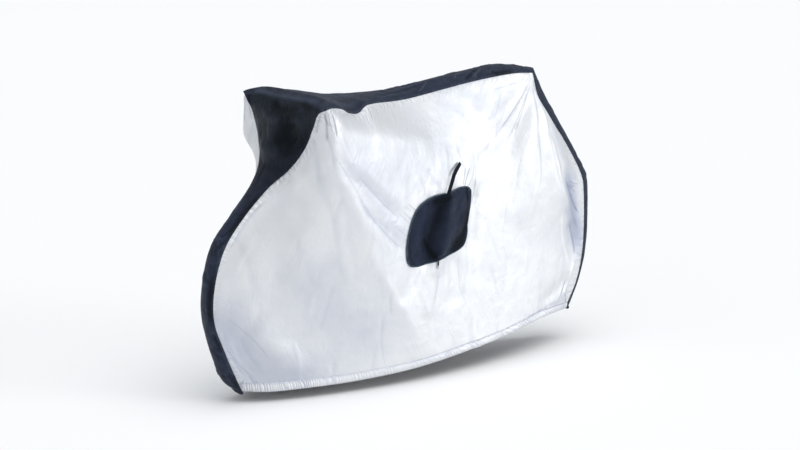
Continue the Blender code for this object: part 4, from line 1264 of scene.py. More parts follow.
runs = [spline([s[1:] for s in run], n) for run, n in zip((FRONT_RUN, TOP_RUN, REAR_RUN), BAND_LENGTHS)]
BAND = band_surface(np.concatenate([runs[0], runs[1][1:], runs[2][1:]]), STRIPS)
band_along = lengths_along(BAND[:, STRIPS // 2][:, None], 0) + np.zeros((1, STRIPS + 1))
band_across = lengths_along(BAND, 1)
band_away = np.minimum(band_across, band_across[:, -1:] - band_across)
band_across = band_across - band_across[:, STRIPS // 2][:, None]
lip = np.clip((band_along - LIP_START) / LIP_RUN, 0.0, 1.0) * smooth_step((LIP_END - band_along) / 0.18)
BAND[..., 0] += BAR_LIP * lip * smooth_step((LIP_HALF_WIDTH - np.abs(band_across)) / 0.05)

rise = np.zeros(BAND.shape[:2])
for crease in BAND_CREASES + scattered_band_creases(band_along[-1, 0]):
    rise += crease_height(band_along, band_across, crease)
rise += crumples(band_along * 1.3, band_across * 1.3, 29.0) * 0.8
rise *= smooth_step((band_away - 0.002) / 0.020)
# The band's crest value gives painted shade in its troughs and a painted highlight on its crests.
band_crest = relief(rise, 0.0011)
rise -= 0.0004 * np.exp(-(((band_away - STITCH_INSET) / 0.0016) ** 2))
BAND_NORMALS = grid_normals(BAND, 1)
BAND = BAND + BAND_NORMALS * rise[..., None]
BAND_NORMALS = grid_normals(BAND, 1)
print("band length", round(float(band_along[-1, 0]), 3), "m")
print("band's widest half", round(float(band_across.max()), 3), "m")

# %% [markdown]
# ## From a grid to a cloth
#
# A sheet starts as one open face of quads. Its UV map holds the real distance along the threads,
# so the weave keeps its size, and an attribute holds the distance to the nearest seam for edge
# wear and a painted highlight.
# A Solidify modifier then gives it its thickness inwards and closes its edges.

# %% Sheet maker
SHEET_THICKNESS = 0.0010


def select_only(piece):
    bpy.ops.object.select_all(action="DESELECT")
    piece.select_set(True)
    bpy.context.view_layer.objects.active = piece


def grid_faces(columns, rows, flip=False):
    """The quads of a grid whose points are listed row by row along its second axis."""
    i, j = np.meshgrid(np.arange(columns), np.arange(rows), indexing="ij")
    a = (i * (rows + 1) + j).ravel()
    faces = np.stack([a, a + rows + 1, a + rows + 2, a + 1], axis=1)
    return faces[:, ::-1] if flip else faces


def mesh_piece(name, points, faces, material, uv=None, **values):
    """A mesh object from points in the cover's own lengths, with values held on its points."""
    mesh = bpy.data.meshes.new(name)
    faces = faces.tolist() if isinstance(faces, np.ndarray) else faces
    mesh.from_pydata((np.asarray(points) + ORIGIN).tolist(), [], faces)
    if uv is not None:
        corners = np.empty(len(mesh.loops), np.int32)
        mesh.loops.foreach_get("vertex_index", corners)
        mesh.uv_layers.new(name="UVMap").data.foreach_set("uv", np.asarray(uv, np.float32)[corners].ravel())
    for label, numbers in values.items():
        layer = mesh.attributes.new(label, "FLOAT", "POINT")
        layer.data.foreach_set("value", np.asarray(numbers, np.float32).ravel())
    mesh.materials.append(material)
    piece = bpy.data.objects.new(name, mesh)
    bpy.context.scene.collection.objects.link(piece)
    return piece


def thickened(piece, thickness):
    """Gives an open sheet its thickness inwards."""
    select_only(piece)
    wall = piece.modifiers.new("thickness", "SOLIDIFY")
    wall.thickness = thickness
    wall.offset = -1.0
    bpy.ops.object.modifier_apply(modifier=wall.name)
    piece.data.shade_smooth()
    piece.data.set_sharp_from_angle(angle=math.radians(55))
    return piece


def facing_outwards(piece):
    """Recalculates a closed mesh's normals so that all of its faces point outwards."""
    bm = bmesh.new()
    bm.from_mesh(piece.data)
    bmesh.ops.recalc_face_normals(bm, faces=bm.faces)
    bm.to_mesh(piece.data)
    bm.free()


def finished(piece, slot, *nodes):
    """Puts a piece on the cover's one body and hides the nodes that it stands for. Its slot is not used."""
    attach(piece, "root")
    if nodes:
        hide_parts(*nodes)
    triangles = sum(len(p.vertices) - 2 for p in piece.data.polygons)
    print(piece.name, "has", triangles, "triangles")
    return piece


band_uv = np.stack([band_along, band_across], axis=-1).reshape(-1, 2)
# The band's painted shade: its table and its darker front face.
band_shade = sum(crease_height(band_along, band_across, shadow) for shadow in BAND_SHADES)
band_shade += FRONT_SHADE * smooth_step((band_along - FRONT_SHADE_START) / 0.20) * smooth_step(
    (FRONT_SHADE_END - band_along) / 0.012)
band_piece = mesh_piece(
    "band_cloth", BAND.reshape(-1, 3), grid_faces(len(BAND) - 1, STRIPS), navy_cloth, band_uv,
    edge_distance=band_away, seam_run=band_along + 0.4 * band_away,
    gather=0.6 * np.exp(-((band_away / 0.018) ** 2)), shade=np.clip(band_shade, 0.0, 0.9), crest=band_crest,
)
finished(thickened(band_piece, SHEET_THICKNESS), "dark_cloth", "centre_band")

# %% [markdown]
# ## Sewing the panels under the band
#
# A panel's three sewn edges are drawn down by the lap's thickness, and a seam allowance of two
# more rows is tucked under the band, so no light passes between the two cloths.

# %% Seam allowance
ALLOWANCE = (0.0040, 0.0080)
TUCK = SHEET_THICKNESS + 0.0005


def inside_seam(side, inset):
    """The band's points at a distance from one side's seam, and its normals there."""
    order = 1 if side == "N" else -1
    grid, normal = BAND[:, ::order], BAND_NORMALS[:, ::order]
    insets, reach = np.full(len(grid), inset), lengths_along(grid, 1)
    return read_across(insets, reach, grid), read_across(insets, reach, normal)


def band_line(inset, side, front, top):
    """The same, read at the panel's own places along the band."""
    first, second = BAND_LENGTHS[0], BAND_LENGTHS[0] + BAND_LENGTHS[1]
    found = []
    for line in inside_seam(side, inset):
        parts = [
            resampled(line[: first + 1], front, 0),
            resampled(line[first : second + 1], top, 0)[1:],
            resampled(line[second:], 1 - front[::-1], 0)[1:],
        ]
        found.append(np.concatenate(parts))
    return found[0], unit(found[1])


def sewn_path(values):
    """The values on a panel's front, top and rear edges, in the order of the band."""
    return np.concatenate([values[0], values[1:, -1], values[-1, -2::-1]])


def sewn_panel(panel, name):
    """A side panel with its lap, allowance, thickness and material."""
    flip = panel.side == "F"
    grid = panel.grid.copy()
    if not flip:
        grid[..., 1] *= -1
    normal = grid_normals(grid, -1 if flip else 1)
    edge_point, edge_normal = band_line(0.0, panel.side, panel.v[0], panel.u[:, 0])
    sink = LAP_DROP * np.clip(1 - panel.away / LAP_REACH, 0.0, 1.0) ** 2
    grid -= normal * sink[..., None]
    index = np.arange(grid.shape[0] * grid.shape[1]).reshape(grid.shape[:2])
    path = sewn_path(index)
    points = grid.reshape(-1, 3).copy()
    down = unit(edge_normal + sewn_path(normal))
    points[path] = edge_point - down * LAP_DROP
    uv = np.stack([lengths_along(panel.grid, 0), lengths_along(panel.grid, 1)], axis=-1).reshape(-1, 2)
    faces = [grid_faces(*(n - 1 for n in grid.shape[:2]), flip)]
    held_values = {"edge_distance": panel.away, "seam_run": panel.seam_run, "gather": panel.gather,
                   "shade": panel.shade, "crest": panel.crest}
    held_values, last = {label: values.ravel() for label, values in held_values.items()}, path
    turn = unit(np.gradient(uv[path], axis=0)) @ np.array([[0.0, 1.0], [-1.0, 0.0]])
    for inset in ALLOWANCE:
        spot, face = band_line(inset, panel.side, panel.v[0], panel.u[:, 0])
        fresh = np.arange(len(path)) + len(points)
        points = np.concatenate([points, spot - face * TUCK])
        uv = np.concatenate([uv, uv[path] + turn * inset])
        held_values = {label: np.append(values, values[path]) for label, values in held_values.items()}
        strip = np.stack([last[:-1], last[1:], fresh[1:], fresh[:-1]], axis=1)
        faces.append(strip[:, ::-1] if flip else strip)
        last = fresh
    material = far_silver if flip else silver_cloth
    piece = mesh_piece(name, points, np.concatenate(faces), material, uv, **held_values)
    return thickened(piece, SHEET_THICKNESS), grid


near_piece, NEAR_GRID = sewn_panel(PANELS["N"], "near_panel_cloth")
far_piece, FAR_GRID = sewn_panel(PANELS["F"], "far_panel_cloth")
finished(near_piece, "silver_cloth", "near_panel")
finished(far_piece, "silver_cloth", "far_panel")

# %% [markdown]
# ## The gathered hem
#
# Elastic runs in a casing all round the opening. The casing is the cloth's own edge turned up and
# sewn, and the elastic draws it into ruffles: tight and small at the front corner, then a calmer
# roll, then longer slanting ones towards the rear wheel. It is swept as a flattened tube along the
# panel's lower edge, and the ruffles are a wave whose pitch, height and slant change on the way.

# %% Casing
Ruffle = namedtuple("Ruffle", "place pitch height slant shade")
# The last value of each ruffle row is the painted shade in its valleys.
NEAR_RUFFLES = [Ruffle(*row) for row in (
    (.0, .0085, .0038, .15, .7), (.14, .01, .0038, .3, .65), (.19, .014, .0018, .2, .25),
    (.42, .016, .0015, .5, .22), (.58, .019, .0028, .8, .4), (.9, .017, .0032, .7, .45),
    (1.0, .01, .0036, .2, .6),
)]
CASING_HEIGHTS = (0.034, 0.028)
# Painted shade along the casing's top, where it meets the panel.
TOP_SHADE = 0.20
SECTION = np.array([
    (1.0, .001), (.93, .0022), (.82, .0036), (.66, .0046), (.48, .005), (.3, .0046), (.14, .0036),
    (.03, .002), (-.02, .0), (.03, -.0018), (.16, -.0028), (.36, -.0034), (.58, -.0032), (.8, -.0024),
    (.94, -.0018), (1.0, -.001),
])


def ruffle_wave(run, total, ruffles, up):
    """Irregular ruffles along a hem, with rounded crests, and the painted shade in their tight valleys."""
    places = np.array([r.place for r in ruffles]) * total
    pitch = np.interp(run, places, [r.pitch for r in ruffles])
    turns = np.concatenate([[0.0], np.cumsum(np.diff(run) / ((pitch[1:] + pitch[:-1]) / 2))])
    turns = (turns + 0.9 * np.sin(turns * 0.47) + 0.4 * np.sin(turns * 0.83 + 1.0)
             + 0.2 * np.sin(turns * 1.9))
    slant = np.interp(run, places, [r.slant for r in ruffles]) * up / pitch
    crest = np.abs(np.sin(math.pi * (turns + slant)))
    size = np.interp(run, places, [r.height for r in ruffles])
    strong = np.clip(0.62 + 0.38 * np.sin(turns * 0.53 + 0.4) * np.sin(turns * 0.23 + 2.0), 0.2, 1.0)
    size = size * strong
    valley_shade = np.interp(run, places, [r.shade for r in ruffles]) * (1 - crest) ** 2 * strong
    return (1.6 * crest**0.7 - 1.0) * size, valley_shade


def tube_faces(rings, sides):
    """The quads round an open tube whose points are listed ring by ring."""
    pairs = [(k, (k + 1) % sides) for k in range(sides)]
    return [(i + a, i + b, i + sides + b, i + sides + a)
            for i in range(0, (rings - 1) * sides, sides) for a, b in pairs]


def casing(name, line, outward, upward, ruffles, steps, material, slot, heights=CASING_HEIGHTS):
    """A gathered tube along a hem line; outward and upward point away from the cover and up the cloth."""
    places = np.linspace(0.0, 1.0, steps + 1)
    run = run_of(line)
    even = places * run[-1]
    spine, out_way, rise_way = (read_along(even, run, field) for field in (line, outward, upward))
    out_way = unit(eased(out_way, 60))
    tangent = unit(np.gradient(eased(spine, 30), axis=0))
    up_way = unit(np.cross(out_way, tangent))
    up_way *= np.sign(np.sum(up_way * rise_way, axis=1, keepdims=True))
    out_way = unit(out_way - np.sum(out_way * tangent, axis=1, keepdims=True) * tangent)
    ring = len(SECTION)
    height = np.interp(places, (0.0, 1.0), heights)
    grid, shade = np.zeros((steps + 1, ring, 3)), np.zeros((steps + 1, ring))
    for k, (up, out) in enumerate(SECTION):
        belly = math.sin(math.pi * min(max(up, 0.04), 0.985)) ** 0.5
        wave, valley_shade = ruffle_wave(even, even[-1], ruffles, up * height)
        # Painted shade in the ruffles' valleys and along the casing's top.
        shade[:, k] = valley_shade + TOP_SHADE * smooth_step((up - 0.72) / 0.2)
        ends = smooth_step(np.minimum(places, 1 - places) * even[-1] / 0.012)
        push = out + (wave if out >= 0 else -0.4 * wave) * belly * (0.35 + 0.65 * ends)
        lift = up * height + 0.35 * wave * (1 - min(max(up, 0.0), 1.0)) * 0.8
        grid[:, k] = spine + out_way * push[:, None] + up_way * lift[:, None]
    faces = tube_faces(steps + 1, ring)
    faces.append(tuple(range(ring - 1, -1, -1)))
    faces.append(tuple(steps * ring + k for k in range(ring)))
    around = np.hypot(np.diff(SECTION[:, 0]) * float(height.mean()), np.diff(SECTION[:, 1]))
    around = np.concatenate([[0.0], np.cumsum(around)])
    uv = np.stack(np.broadcast_arrays(even[:, None], around[None, :]), axis=-1).reshape(-1, 2)
    # Edge wear and painted highlight are strongest along the casing's top, where it is sewn to the panel.
    away = np.broadcast_to(0.004 + 0.010 * (1 - SECTION[:, 0])[None, :], (steps + 1, ring))
    piece = mesh_piece(name, grid.reshape(-1, 3), faces, material, uv, edge_distance=away,
                       shade=np.clip(shade, 0.0, 0.8))
    piece.data.shade_smooth()
    facing_outwards(piece)
    return finished(piece, slot)


def hem_of(grid, outward):
    """A panel's hem line with the ways out from it and up the cloth."""
    normal = grid_normals(grid, outward)
    return grid[:, 0], normal[:, 2], unit(grid[:, 3] - grid[:, 0])


FAR_RUFFLES = [
    r._replace(pitch=r.pitch * 1.08, height=r.height * 0.9, slant=-r.slant) for r in NEAR_RUFFLES
]
near_hem = casing("near_hem", *hem_of(NEAR_GRID, 1), NEAR_RUFFLES, 1100, silver_hem, "silver_cloth")
far_hem = casing("far_hem", *hem_of(FAR_GRID, -1), FAR_RUFFLES, 1100, silver_hem, "silver_cloth")
END_RUFFLES = [Ruffle(*row) for row in (
    (.0, .009, .0014, .0, .3), (.5, .012, .0018, .1, .3), (1.0, .009, .0014, .0, .3),
)]
front_hem = casing("front_hem", BAND[0], BAND_NORMALS[1], unit(BAND[3] - BAND[0]),
                   END_RUFFLES, 120, navy_cloth, "dark_cloth", (0.020, 0.020))
rear_hem = casing("rear_hem", BAND[-1], BAND_NORMALS[-2], unit(BAND[-4] - BAND[-1]),
                  END_RUFFLES, 110, navy_cloth, "dark_cloth", (0.014, 0.014))

# %% [markdown]
# ## The pocket
#
# The cover probably folds into this pocket, which is sewn to the near panel by a bound edge. It
# lies over the panel's ridge, so it has a crease down its middle with a broad slope to its front,
# and a second crease from its rear edge to the pull. The sheet is laid on the finished panel by
# casting rays at it, so it follows the folds below it.

# %% Rays onto the near panel
def ray_tree(grid):
    """A grid of points as a surface for rays."""
    faces = grid_faces(grid.shape[0] - 1, grid.shape[1] - 1)
    return BVHTree.FromPolygons(grid.reshape(-1, 3).tolist(), faces.tolist(), all_triangles=False)


def struck(tree, x, z):
    """Where a ray from the near side meets a surface at x, z, and the normal on that side."""
    spot, normal, _, _ = tree.ray_cast(Vector((x, -1.0, z)), Vector((0.0, 1.0, 0.0)))
    return spot, -normal if normal.y > 0 else normal


PANEL_TREE = ray_tree(NEAR_GRID)


def held(x, z, off=0.0):
    """The point off the near panel's outer face at x, z, and the face's outward normal."""
    spot, normal = struck(PANEL_TREE, x, z)
    return spot + normal * off, normal


def laid_out(x, z, reach):
    """How far out from the middle plane the panel comes near x, z, at most."""
    steps = (-reach, 0.0, reach)
    return max(-held(x + dx, z + dz)[0].y for dx in steps for dz in steps)


# %% Pocket sheet
POCKET_SQUARENESS = 3.8
POCKET_CELLS = 72
POCKET_LAY = 0.0014
PIPING_RADIUS = 0.0028
BORDER = 0.0075
MIDDLE_LINE = ((.633, .715), (.621, .671), (.61, .629), (.6, .587), (.583, .545), (.57, .5), (.563, .47))
DIAGONAL_LINE = ((.757, .612), (.707, .58), (.667, .556), (.603, .521), (.574, .48))
PULL_LINE = ((.512, .552), (.528, .52), (.546, .494), (.562, .474))
POCKET_CREASES = [Crease(*row) for row in (
    ("middle ridge", MIDDLE_LINE, .034, .0075),
    ("middle slope", MIDDLE_LINE, .06, .006, "lip"),
    ("front trough", ((.6, .7), (.56, .65), (.52, .59), (.505, .55), (.515, .515), (.55, .475)),
     .022, -.0045, "soft"),
    ("rear diagonal", DIAGONAL_LINE, .026, .004),
    ("rear diagonal fall", DIAGONAL_LINE, .048, -.005, "lip"),
    ("rear trough", ((.752, .715), (.745, .652), (.742, .604), (.73, .55), (.7, .512)),
     .012, -.004, "soft"),
    ("front fold a", ((.46, .655), (.49, .64), (.53, .66)), .018, .0016),
    ("front fold b", ((.445, .56), (.47, .53), (.5, .49)), .016, .0018),
    ("front fold c", ((.46, .485), (.5, .492), (.54, .487)), .012, -.0016),
    ("upper fold", ((.66, .71), (.69, .68), (.735, .67)), .018, .0016),
    ("lower fold", ((.62, .5), (.65, .515), (.69, .522)), .014, -.0018),
    ("fold above the pull", PULL_LINE, .012, -.003),
)]

# Painted shade: the pocket's slopes and corner that turn away from the light, and its folds.
POCKET_SHADES = [Crease(*row) for row in (
    ("rear edge", ((.749, .715), (.747, .681), (.74, .645), (.732, .605), (.722, .565), (.712, .53),
     (.69, .503), (.66, .492)), .0095, .95, "soft"),
    ("rear corner", ((.738, .6), (.722, .565), (.705, .535), (.68, .508)), .03, .9, "soft"),
    ("front of ridge", ((.622, .72), (.602, .685), (.584, .645), (.556, .598), (.536, .56), (.53, .522),
     (.55, .474)), .026, .75, "soft"),
    ("fold above the pull", PULL_LINE, .0055, .85, "soft"),
    ("front stitch line", ((.483, .684), (.457, .648), (.44, .61), (.432, .57), (.431, .529), (.436, .496),
     (.455, .474)), .004, .7, "soft"),
    ("top dark", ((.632, .708), (.612, .702), (.592, .7), (.57, .692)), .012, .6, "soft"),
)]


def pocket_point(a, b):
    """x and z of the spot a half widths across and b half heights up from the pocket's middle."""
    along, up = a * POCKET_HALF_WIDTH, b * POCKET_HALF_HEIGHT
    x = POCKET_X + along * math.cos(POCKET_TILT) + up * math.sin(POCKET_LEAN)
    z = POCKET_Z + along * math.sin(POCKET_TILT) + up * math.cos(POCKET_LEAN)
    return x, z


# The sewn edge is not even. These are its own sizes by direction, in degrees round from the rear.
POCKET_EDGE = {
    -180: 1.035, -155: 1.03, -135: 1.02, -110: .99, -95: 1.0, -87: .98, -67: 1.02, -55: 1.05, -47: 1.065,
    -40: 1.035, -20: .94, 1: .97, 22: 1.025, 34: 1.06, 44: 1.03, 52: .985, 63: .95, 76: .965, 83: .95,
    91: .995, 109: .985, 125: .985, 144: .965, 160: .995, 180: 1.035,
}


def rounded(a, b):
    """Draws a point of the square from -1 to 1 in to the pocket's rounded outline."""
    longest = max(abs(a), abs(b))
    if longest == 0:
        return 0.0, 0.0
    scale = longest / (abs(a) ** POCKET_SQUARENESS + abs(b) ** POCKET_SQUARENESS) ** (1 / POCKET_SQUARENESS)
    size = np.interp(math.degrees(math.atan2(b, a)), list(POCKET_EDGE), list(POCKET_EDGE.values()))
    scale *= 1 + (size - 1) * longest**2
    return a * scale, b * scale


def pocket_grid():
    """The pocket's outer face, how far each point is from its edge, and its bulge."""
    sides = crowded(POCKET_CELLS, 0.9, 0.9, 0.05) * 2 - 1
    grid = np.zeros((POCKET_CELLS + 1, POCKET_CELLS + 1, 3))
    away = np.zeros(grid.shape[:2])
    for i, a in enumerate(sides):
        for j, b in enumerate(sides):
            x, z = pocket_point(*rounded(a, b))
            grid[i, j] = (x, laid_out(x, z, 0.003), z)
            away[i, j] = min(POCKET_HALF_WIDTH * (1 - abs(a)), POCKET_HALF_HEIGHT * (1 - abs(b)))
    x, z = grid[..., 0], grid[..., 2]
    puff = 0.0080 * smooth_step(away / 0.060)
    for crease in POCKET_CREASES:
        puff = puff + crease_height(x, z, crease, (False, False)) * smooth_step((away - 0.004) / 0.020)
    puff = puff + crumples(x * 2.2, z * 2.2, 51.0) * 0.7 * smooth_step(away / 0.02)
    puff = puff - 0.0007 * np.exp(-(((away - BORDER) / 0.0016) ** 2))
    puff = puff + 0.0012 * smooth_step(away / 0.003)
    under = eased(eased(grid[..., 1], 2).T, 2).T
    grid[..., 1] = -(under + POCKET_LAY + SHEET_THICKNESS + np.maximum(puff, 0.0))
    return grid, away


POCKET, pocket_away = pocket_grid()
pocket_uv = np.stack([lengths_along(POCKET, 0), lengths_along(POCKET, 1)], axis=-1).reshape(-1, 2)
# The pocket's painted shade, from the table above.
pocket_shade = sum(crease_height(POCKET[..., 0], POCKET[..., 2], c, (False, False)) for c in POCKET_SHADES)
pocket_piece = mesh_piece(
    "pocket_cloth_sheet", POCKET.reshape(-1, 3), grid_faces(POCKET_CELLS, POCKET_CELLS), pocket_cloth,
    pocket_uv, edge_distance=pocket_away, shade=np.clip(pocket_shade, 0.0, 0.9),
)
finished(thickened(pocket_piece, SHEET_THICKNESS), "dark_cloth", "pocket")

# %% [markdown]
# ## A tube along a path
#
# The pocket's bound edge is bias tape wrapped round a cord: a closed tube. It is a ring of small
# rings, with a slight uneven swell.

# %% Bound edge
BINDING_SIDES = 12
BINDING_POINTS = 300


def pocket_outline(outside, count):
    """Evenly spaced x and z round the pocket, a distance outside its edge."""
    wide, high = 1 + outside / POCKET_HALF_WIDTH, 1 + outside / POCKET_HALF_HEIGHT
    edge = np.linspace(-1.0, 1.0, 100)[:-1]
    square = [(t, -1.0) for t in edge] + [(1.0, t) for t in edge]
    square += [(-t, 1.0) for t in edge] + [(-1.0, -t) for t in edge]
    outline = np.array([rounded(a, b) for a, b in square + square[:1]])
    outline = np.array([pocket_point(a * wide, b * high) for a, b in outline])
    run = run_of(outline)
    return read_along(np.linspace(0.0, run[-1], count + 1)[:-1], run, outline), float(run[-1])


def binding():
    """The bound edge as a closed ring of small rings."""
    spots, length = pocket_outline(PIPING_RADIUS - 0.0002, BINDING_POINTS)
    depth = np.array([laid_out(x, z, 0.003) for x, z in spots])
    for _ in range(3):
        depth = (np.roll(depth, 1) + 2 * depth + np.roll(depth, -1)) / 4
    path = np.stack([spots[:, 0], -depth - PIPING_RADIUS - 0.0007, spots[:, 1]], axis=1)
    tangent = unit(np.roll(path, -1, axis=0) - np.roll(path, 1, axis=0))
    out_way = unit(np.cross(tangent, (0.0, 1.0, 0.0)))
    face_way = unit(np.cross(out_way, tangent))
    points, uv = [], []
    for k in range(BINDING_POINTS):
        uneven = noise.noise(Vector((k * 0.13, 2.0, 0.0)))
        swell = 1 + 0.05 * math.sin(2 * math.pi * k * 0.31) + 0.05 * uneven
        for m in range(BINDING_SIDES):
            angle = 2 * math.pi * m / BINDING_SIDES
            radial = out_way[k] * math.cos(angle) + face_way[k] * math.sin(angle) * 0.92
            points.append(path[k] + radial * PIPING_RADIUS * swell)
            uv.append((length * k / BINDING_POINTS, PIPING_RADIUS * angle))
    faces = []
    for k in range(BINDING_POINTS):
        after = (k + 1) % BINDING_POINTS
        for m in range(BINDING_SIDES):
            n = (m + 1) % BINDING_SIDES
            faces.append([k * BINDING_SIDES + m, after * BINDING_SIDES + m,
                          after * BINDING_SIDES + n, k * BINDING_SIDES + n])
    edge = np.full(len(points), 0.006)
    piece = mesh_piece("pocket_binding", points, faces, bound_tape, uv, edge_distance=edge)
    piece.data.shade_smooth()
    facing_outwards(piece)
    return piece, path


binding_piece, BINDING_PATH = binding()
finished(binding_piece, "dark_trim", "pocket_piping")

# %% [markdown]
# ## The webbing strap
#
# A short strap stands up from the pocket's top edge, turns on its own length and leans back on the
# panel with a free end. Woven webbing is flat with rounded edges and ribs across it. The section
# is a flat oval swept along the strap's path, and the ribs are in its rings.

# %% Strap
StrapPoint = namedtuple("StrapPoint", "place x z off turn")
STRAP = [StrapPoint(*row) for row in (
    ("root", .627, .7125, .0115, 28.0),
    ("over the edge", .636, .7385, .014, 58.0),
    ("neck", .6505, .76, .0165, 60.0),
    ("middle", .677, .788, .017, 32.0),
    ("free end", .7205, .818, .008, 2.0),
)]
STRAP_HALF_WIDTH, STRAP_THICKNESS = 0.0072, 0.0018
STRAP_RINGS = 120
STRAP_RIB_PITCH, STRAP_RIB_HEIGHT = 0.0022, 0.00012
FLAT_OVAL = [(1.0, .0), (.97, .3), (.88, .46), (.6, .5), (.3, .5), (.0, .5)]


def flat_section():
    """The outline of a flat oval, once round."""
    upper = FLAT_OVAL + [(-a, b) for a, b in FLAT_OVAL[-2::-1]]
    return np.array(upper + [(-a, -b) for a, b in upper[1:-1]])


def swept_flat(middle, across, face, half_width, thickness, rib_pitch, rib_height):
    """Points of a flat strap along its middle line, ribbed across and closed at both ends."""
    section = flat_section()
    run = run_of(middle)
    points, uv = [], []
    for k, at in enumerate(run):
        rib = rib_height * math.cos(2 * math.pi * at / rib_pitch)
        for a, b in section:
            out = b * thickness + (rib * np.sign(b) if abs(b) > 0.4 else 0.0)
            points.append(middle[k] + across[k] * a * half_width + face[k] * out)
            uv.append((at, a * half_width + (0.02 if b < 0 else 0.0)))
    count = len(section)
    faces = tube_faces(len(run), count)
    for ring, flip in ((0, True), (len(run) - 1, False)):
        first = ring * count
        for m in range(count // 2):
            quad = [first + m, first + m + 1, first + (count - m - 1) % count, first + (count - m) % count]
            quad = list(dict.fromkeys(quad))
            faces.append(quad[::-1] if flip else quad)
    return points, faces, uv


def strap_lines():
    """The strap's middle line, with the ways across it and out from its face."""
    rows = spline([(p.x, p.z, p.off, p.turn) for p in STRAP], STRAP_RINGS)
    middle, normal = [], []
    for x, z, off, _ in rows:
        spot, face = held(x, z, off)
        middle.append(np.array(spot))
        normal.append(np.array(face))
    middle = eased(np.array(middle), 12)
    mean = unit(np.sum(normal, axis=0))
    along = unit(np.gradient(middle, axis=0))
    across = unit(np.cross(along, mean))
    face = unit(np.cross(across, along))
    angle = np.radians(rows[:, 3])[:, None]
    turned = across * np.cos(angle) + face * np.sin(angle)
    outward = face * np.cos(angle) - across * np.sin(angle)
    return middle, turned, outward


def webbing(name, node, lines, half_width, thickness, rib_pitch, rib_height):
    """A finished piece of webbing that stands for one node."""
    points, faces, uv = swept_flat(*lines, half_width, thickness, rib_pitch, rib_height)
    edge = np.full(len(points), 0.010)
    piece = mesh_piece(name, points, faces, dark_webbing, uv, edge_distance=edge)
    facing_outwards(piece)
    piece.data.shade_smooth()
    piece.data.set_sharp_from_angle(angle=math.radians(60))
    return finished(piece, "dark_trim", node)


strap_piece = webbing("strap_webbing", "strap", strap_lines(), STRAP_HALF_WIDTH, STRAP_THICKNESS,
                      STRAP_RIB_PITCH, STRAP_RIB_HEIGHT)

# %% [markdown]
# ## The pull
#
# A narrow tape hangs from the pocket's lower edge, with a moulded end to grip. The tape is the
# strap's helper at a smaller size. The end is modelled by hand from a cube: its top is drawn in,
# its front and back are inset for a grip, and a bevel rounds it.

# %% Pull tape
PULL_X, PULL_LENGTH, PULL_THICKNESS, PULL_HALF_WIDTH = 0.569, 0.017, 0.0016, 0.0034
PULL_RINGS = 22
PULL_RIB_PITCH, PULL_RIB_HEIGHT = 0.0016, 0.00010


def pull_lines():
    """The tape's middle line from under the bound edge down the panel."""
    near = BINDING_PATH[(np.abs(BINDING_PATH[:, 0] - PULL_X) < 0.020) & (BINDING_PATH[:, 2] < POCKET_Z)]
    near = near[np.argsort(near[:, 0])]
    binding_out = -np.interp(PULL_X, near[:, 0], near[:, 1])
    lowest = min(np.interp(PULL_X + dx, near[:, 0], near[:, 2]) for dx in (-0.0036, 0.0036))
    top = lowest - PIPING_RADIUS + 0.0006
    middle = []
    for k in range(PULL_RINGS + 1):
        z = top - (PULL_LENGTH + 0.0006) * k / PULL_RINGS
        out = max(binding_out - 0.0016 * k / PULL_RINGS, laid_out(PULL_X, z, 0.005) + 0.0022)
        middle.append((PULL_X, -out, z))
    middle = np.array(middle)
    count = len(middle)
    return middle, np.tile((1.0, 0.0, 0.0), (count, 1)), np.tile((0.0, -1.0, 0.0), (count, 1))


webbing("pull_tape", "pull_tab", pull_lines(), PULL_HALF_WIDTH, PULL_THICKNESS, PULL_RIB_PITCH,
        PULL_RIB_HEIGHT)

# %% Moulded end
low, high = (Vector(corner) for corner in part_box("pull_end"))
end_middle, end_size = (low + high) / 2, high - low
bpy.ops.object.select_all(action="DESELECT")
bpy.ops.mesh.primitive_cube_add(size=1.0, location=end_middle)
end_piece = bpy.context.object
end_piece.name = "pull_grip"
end_piece.dimensions = end_size
bpy.ops.object.transform_apply(location=True, rotation=True, scale=True)


def in_edit_mode(piece, choose, *steps):
    """Selects the faces that choose accepts, in edit mode, and runs each step on them."""
    select_only(piece)
    bpy.ops.object.mode_set(mode="EDIT")
    bpy.ops.mesh.select_mode(type="FACE")
    bpy.ops.mesh.select_all(action="DESELECT")
    bm = bmesh.from_edit_mesh(piece.data)
    for face in bm.faces:
        if choose(face):
            face.select_set(True)
    bmesh.update_edit_mesh(piece.data)
    for step in steps:
        step()
    bpy.ops.object.mode_set(mode="OBJECT")


in_edit_mode(
    end_piece, lambda face: abs(face.normal.z) > 0.9 and face.calc_center_median().z > end_middle.z,
    lambda: bpy.ops.transform.resize(value=(0.62, 0.9, 1.0)),
)
in_edit_mode(
    end_piece, lambda face: abs(face.normal.y) > 0.9,
    lambda: bpy.ops.mesh.inset(thickness=0.0016, depth=0.0),
    lambda: bpy.ops.mesh.inset(thickness=0.0004, depth=-0.0005),
)
end_bevel = end_piece.modifiers.new("rounding", "BEVEL")
end_bevel.width = 0.00055
end_bevel.segments = 3
end_bevel.limit_method = "ANGLE"
select_only(end_piece)
bpy.ops.object.modifier_apply(modifier=end_bevel.name)
bpy.ops.object.shade_smooth_by_angle(angle=math.radians(40))
end_piece.data.materials.append(grey_moulding)
finished(end_piece, "grey_moulding", "pull_end")

# %% [markdown]
# ## Stitches
#
# A row of thread runs along each seam, round the pocket and along the side panels' casings. One
# stitch is a small six-sided spindle, and copies of it are laid along each line.

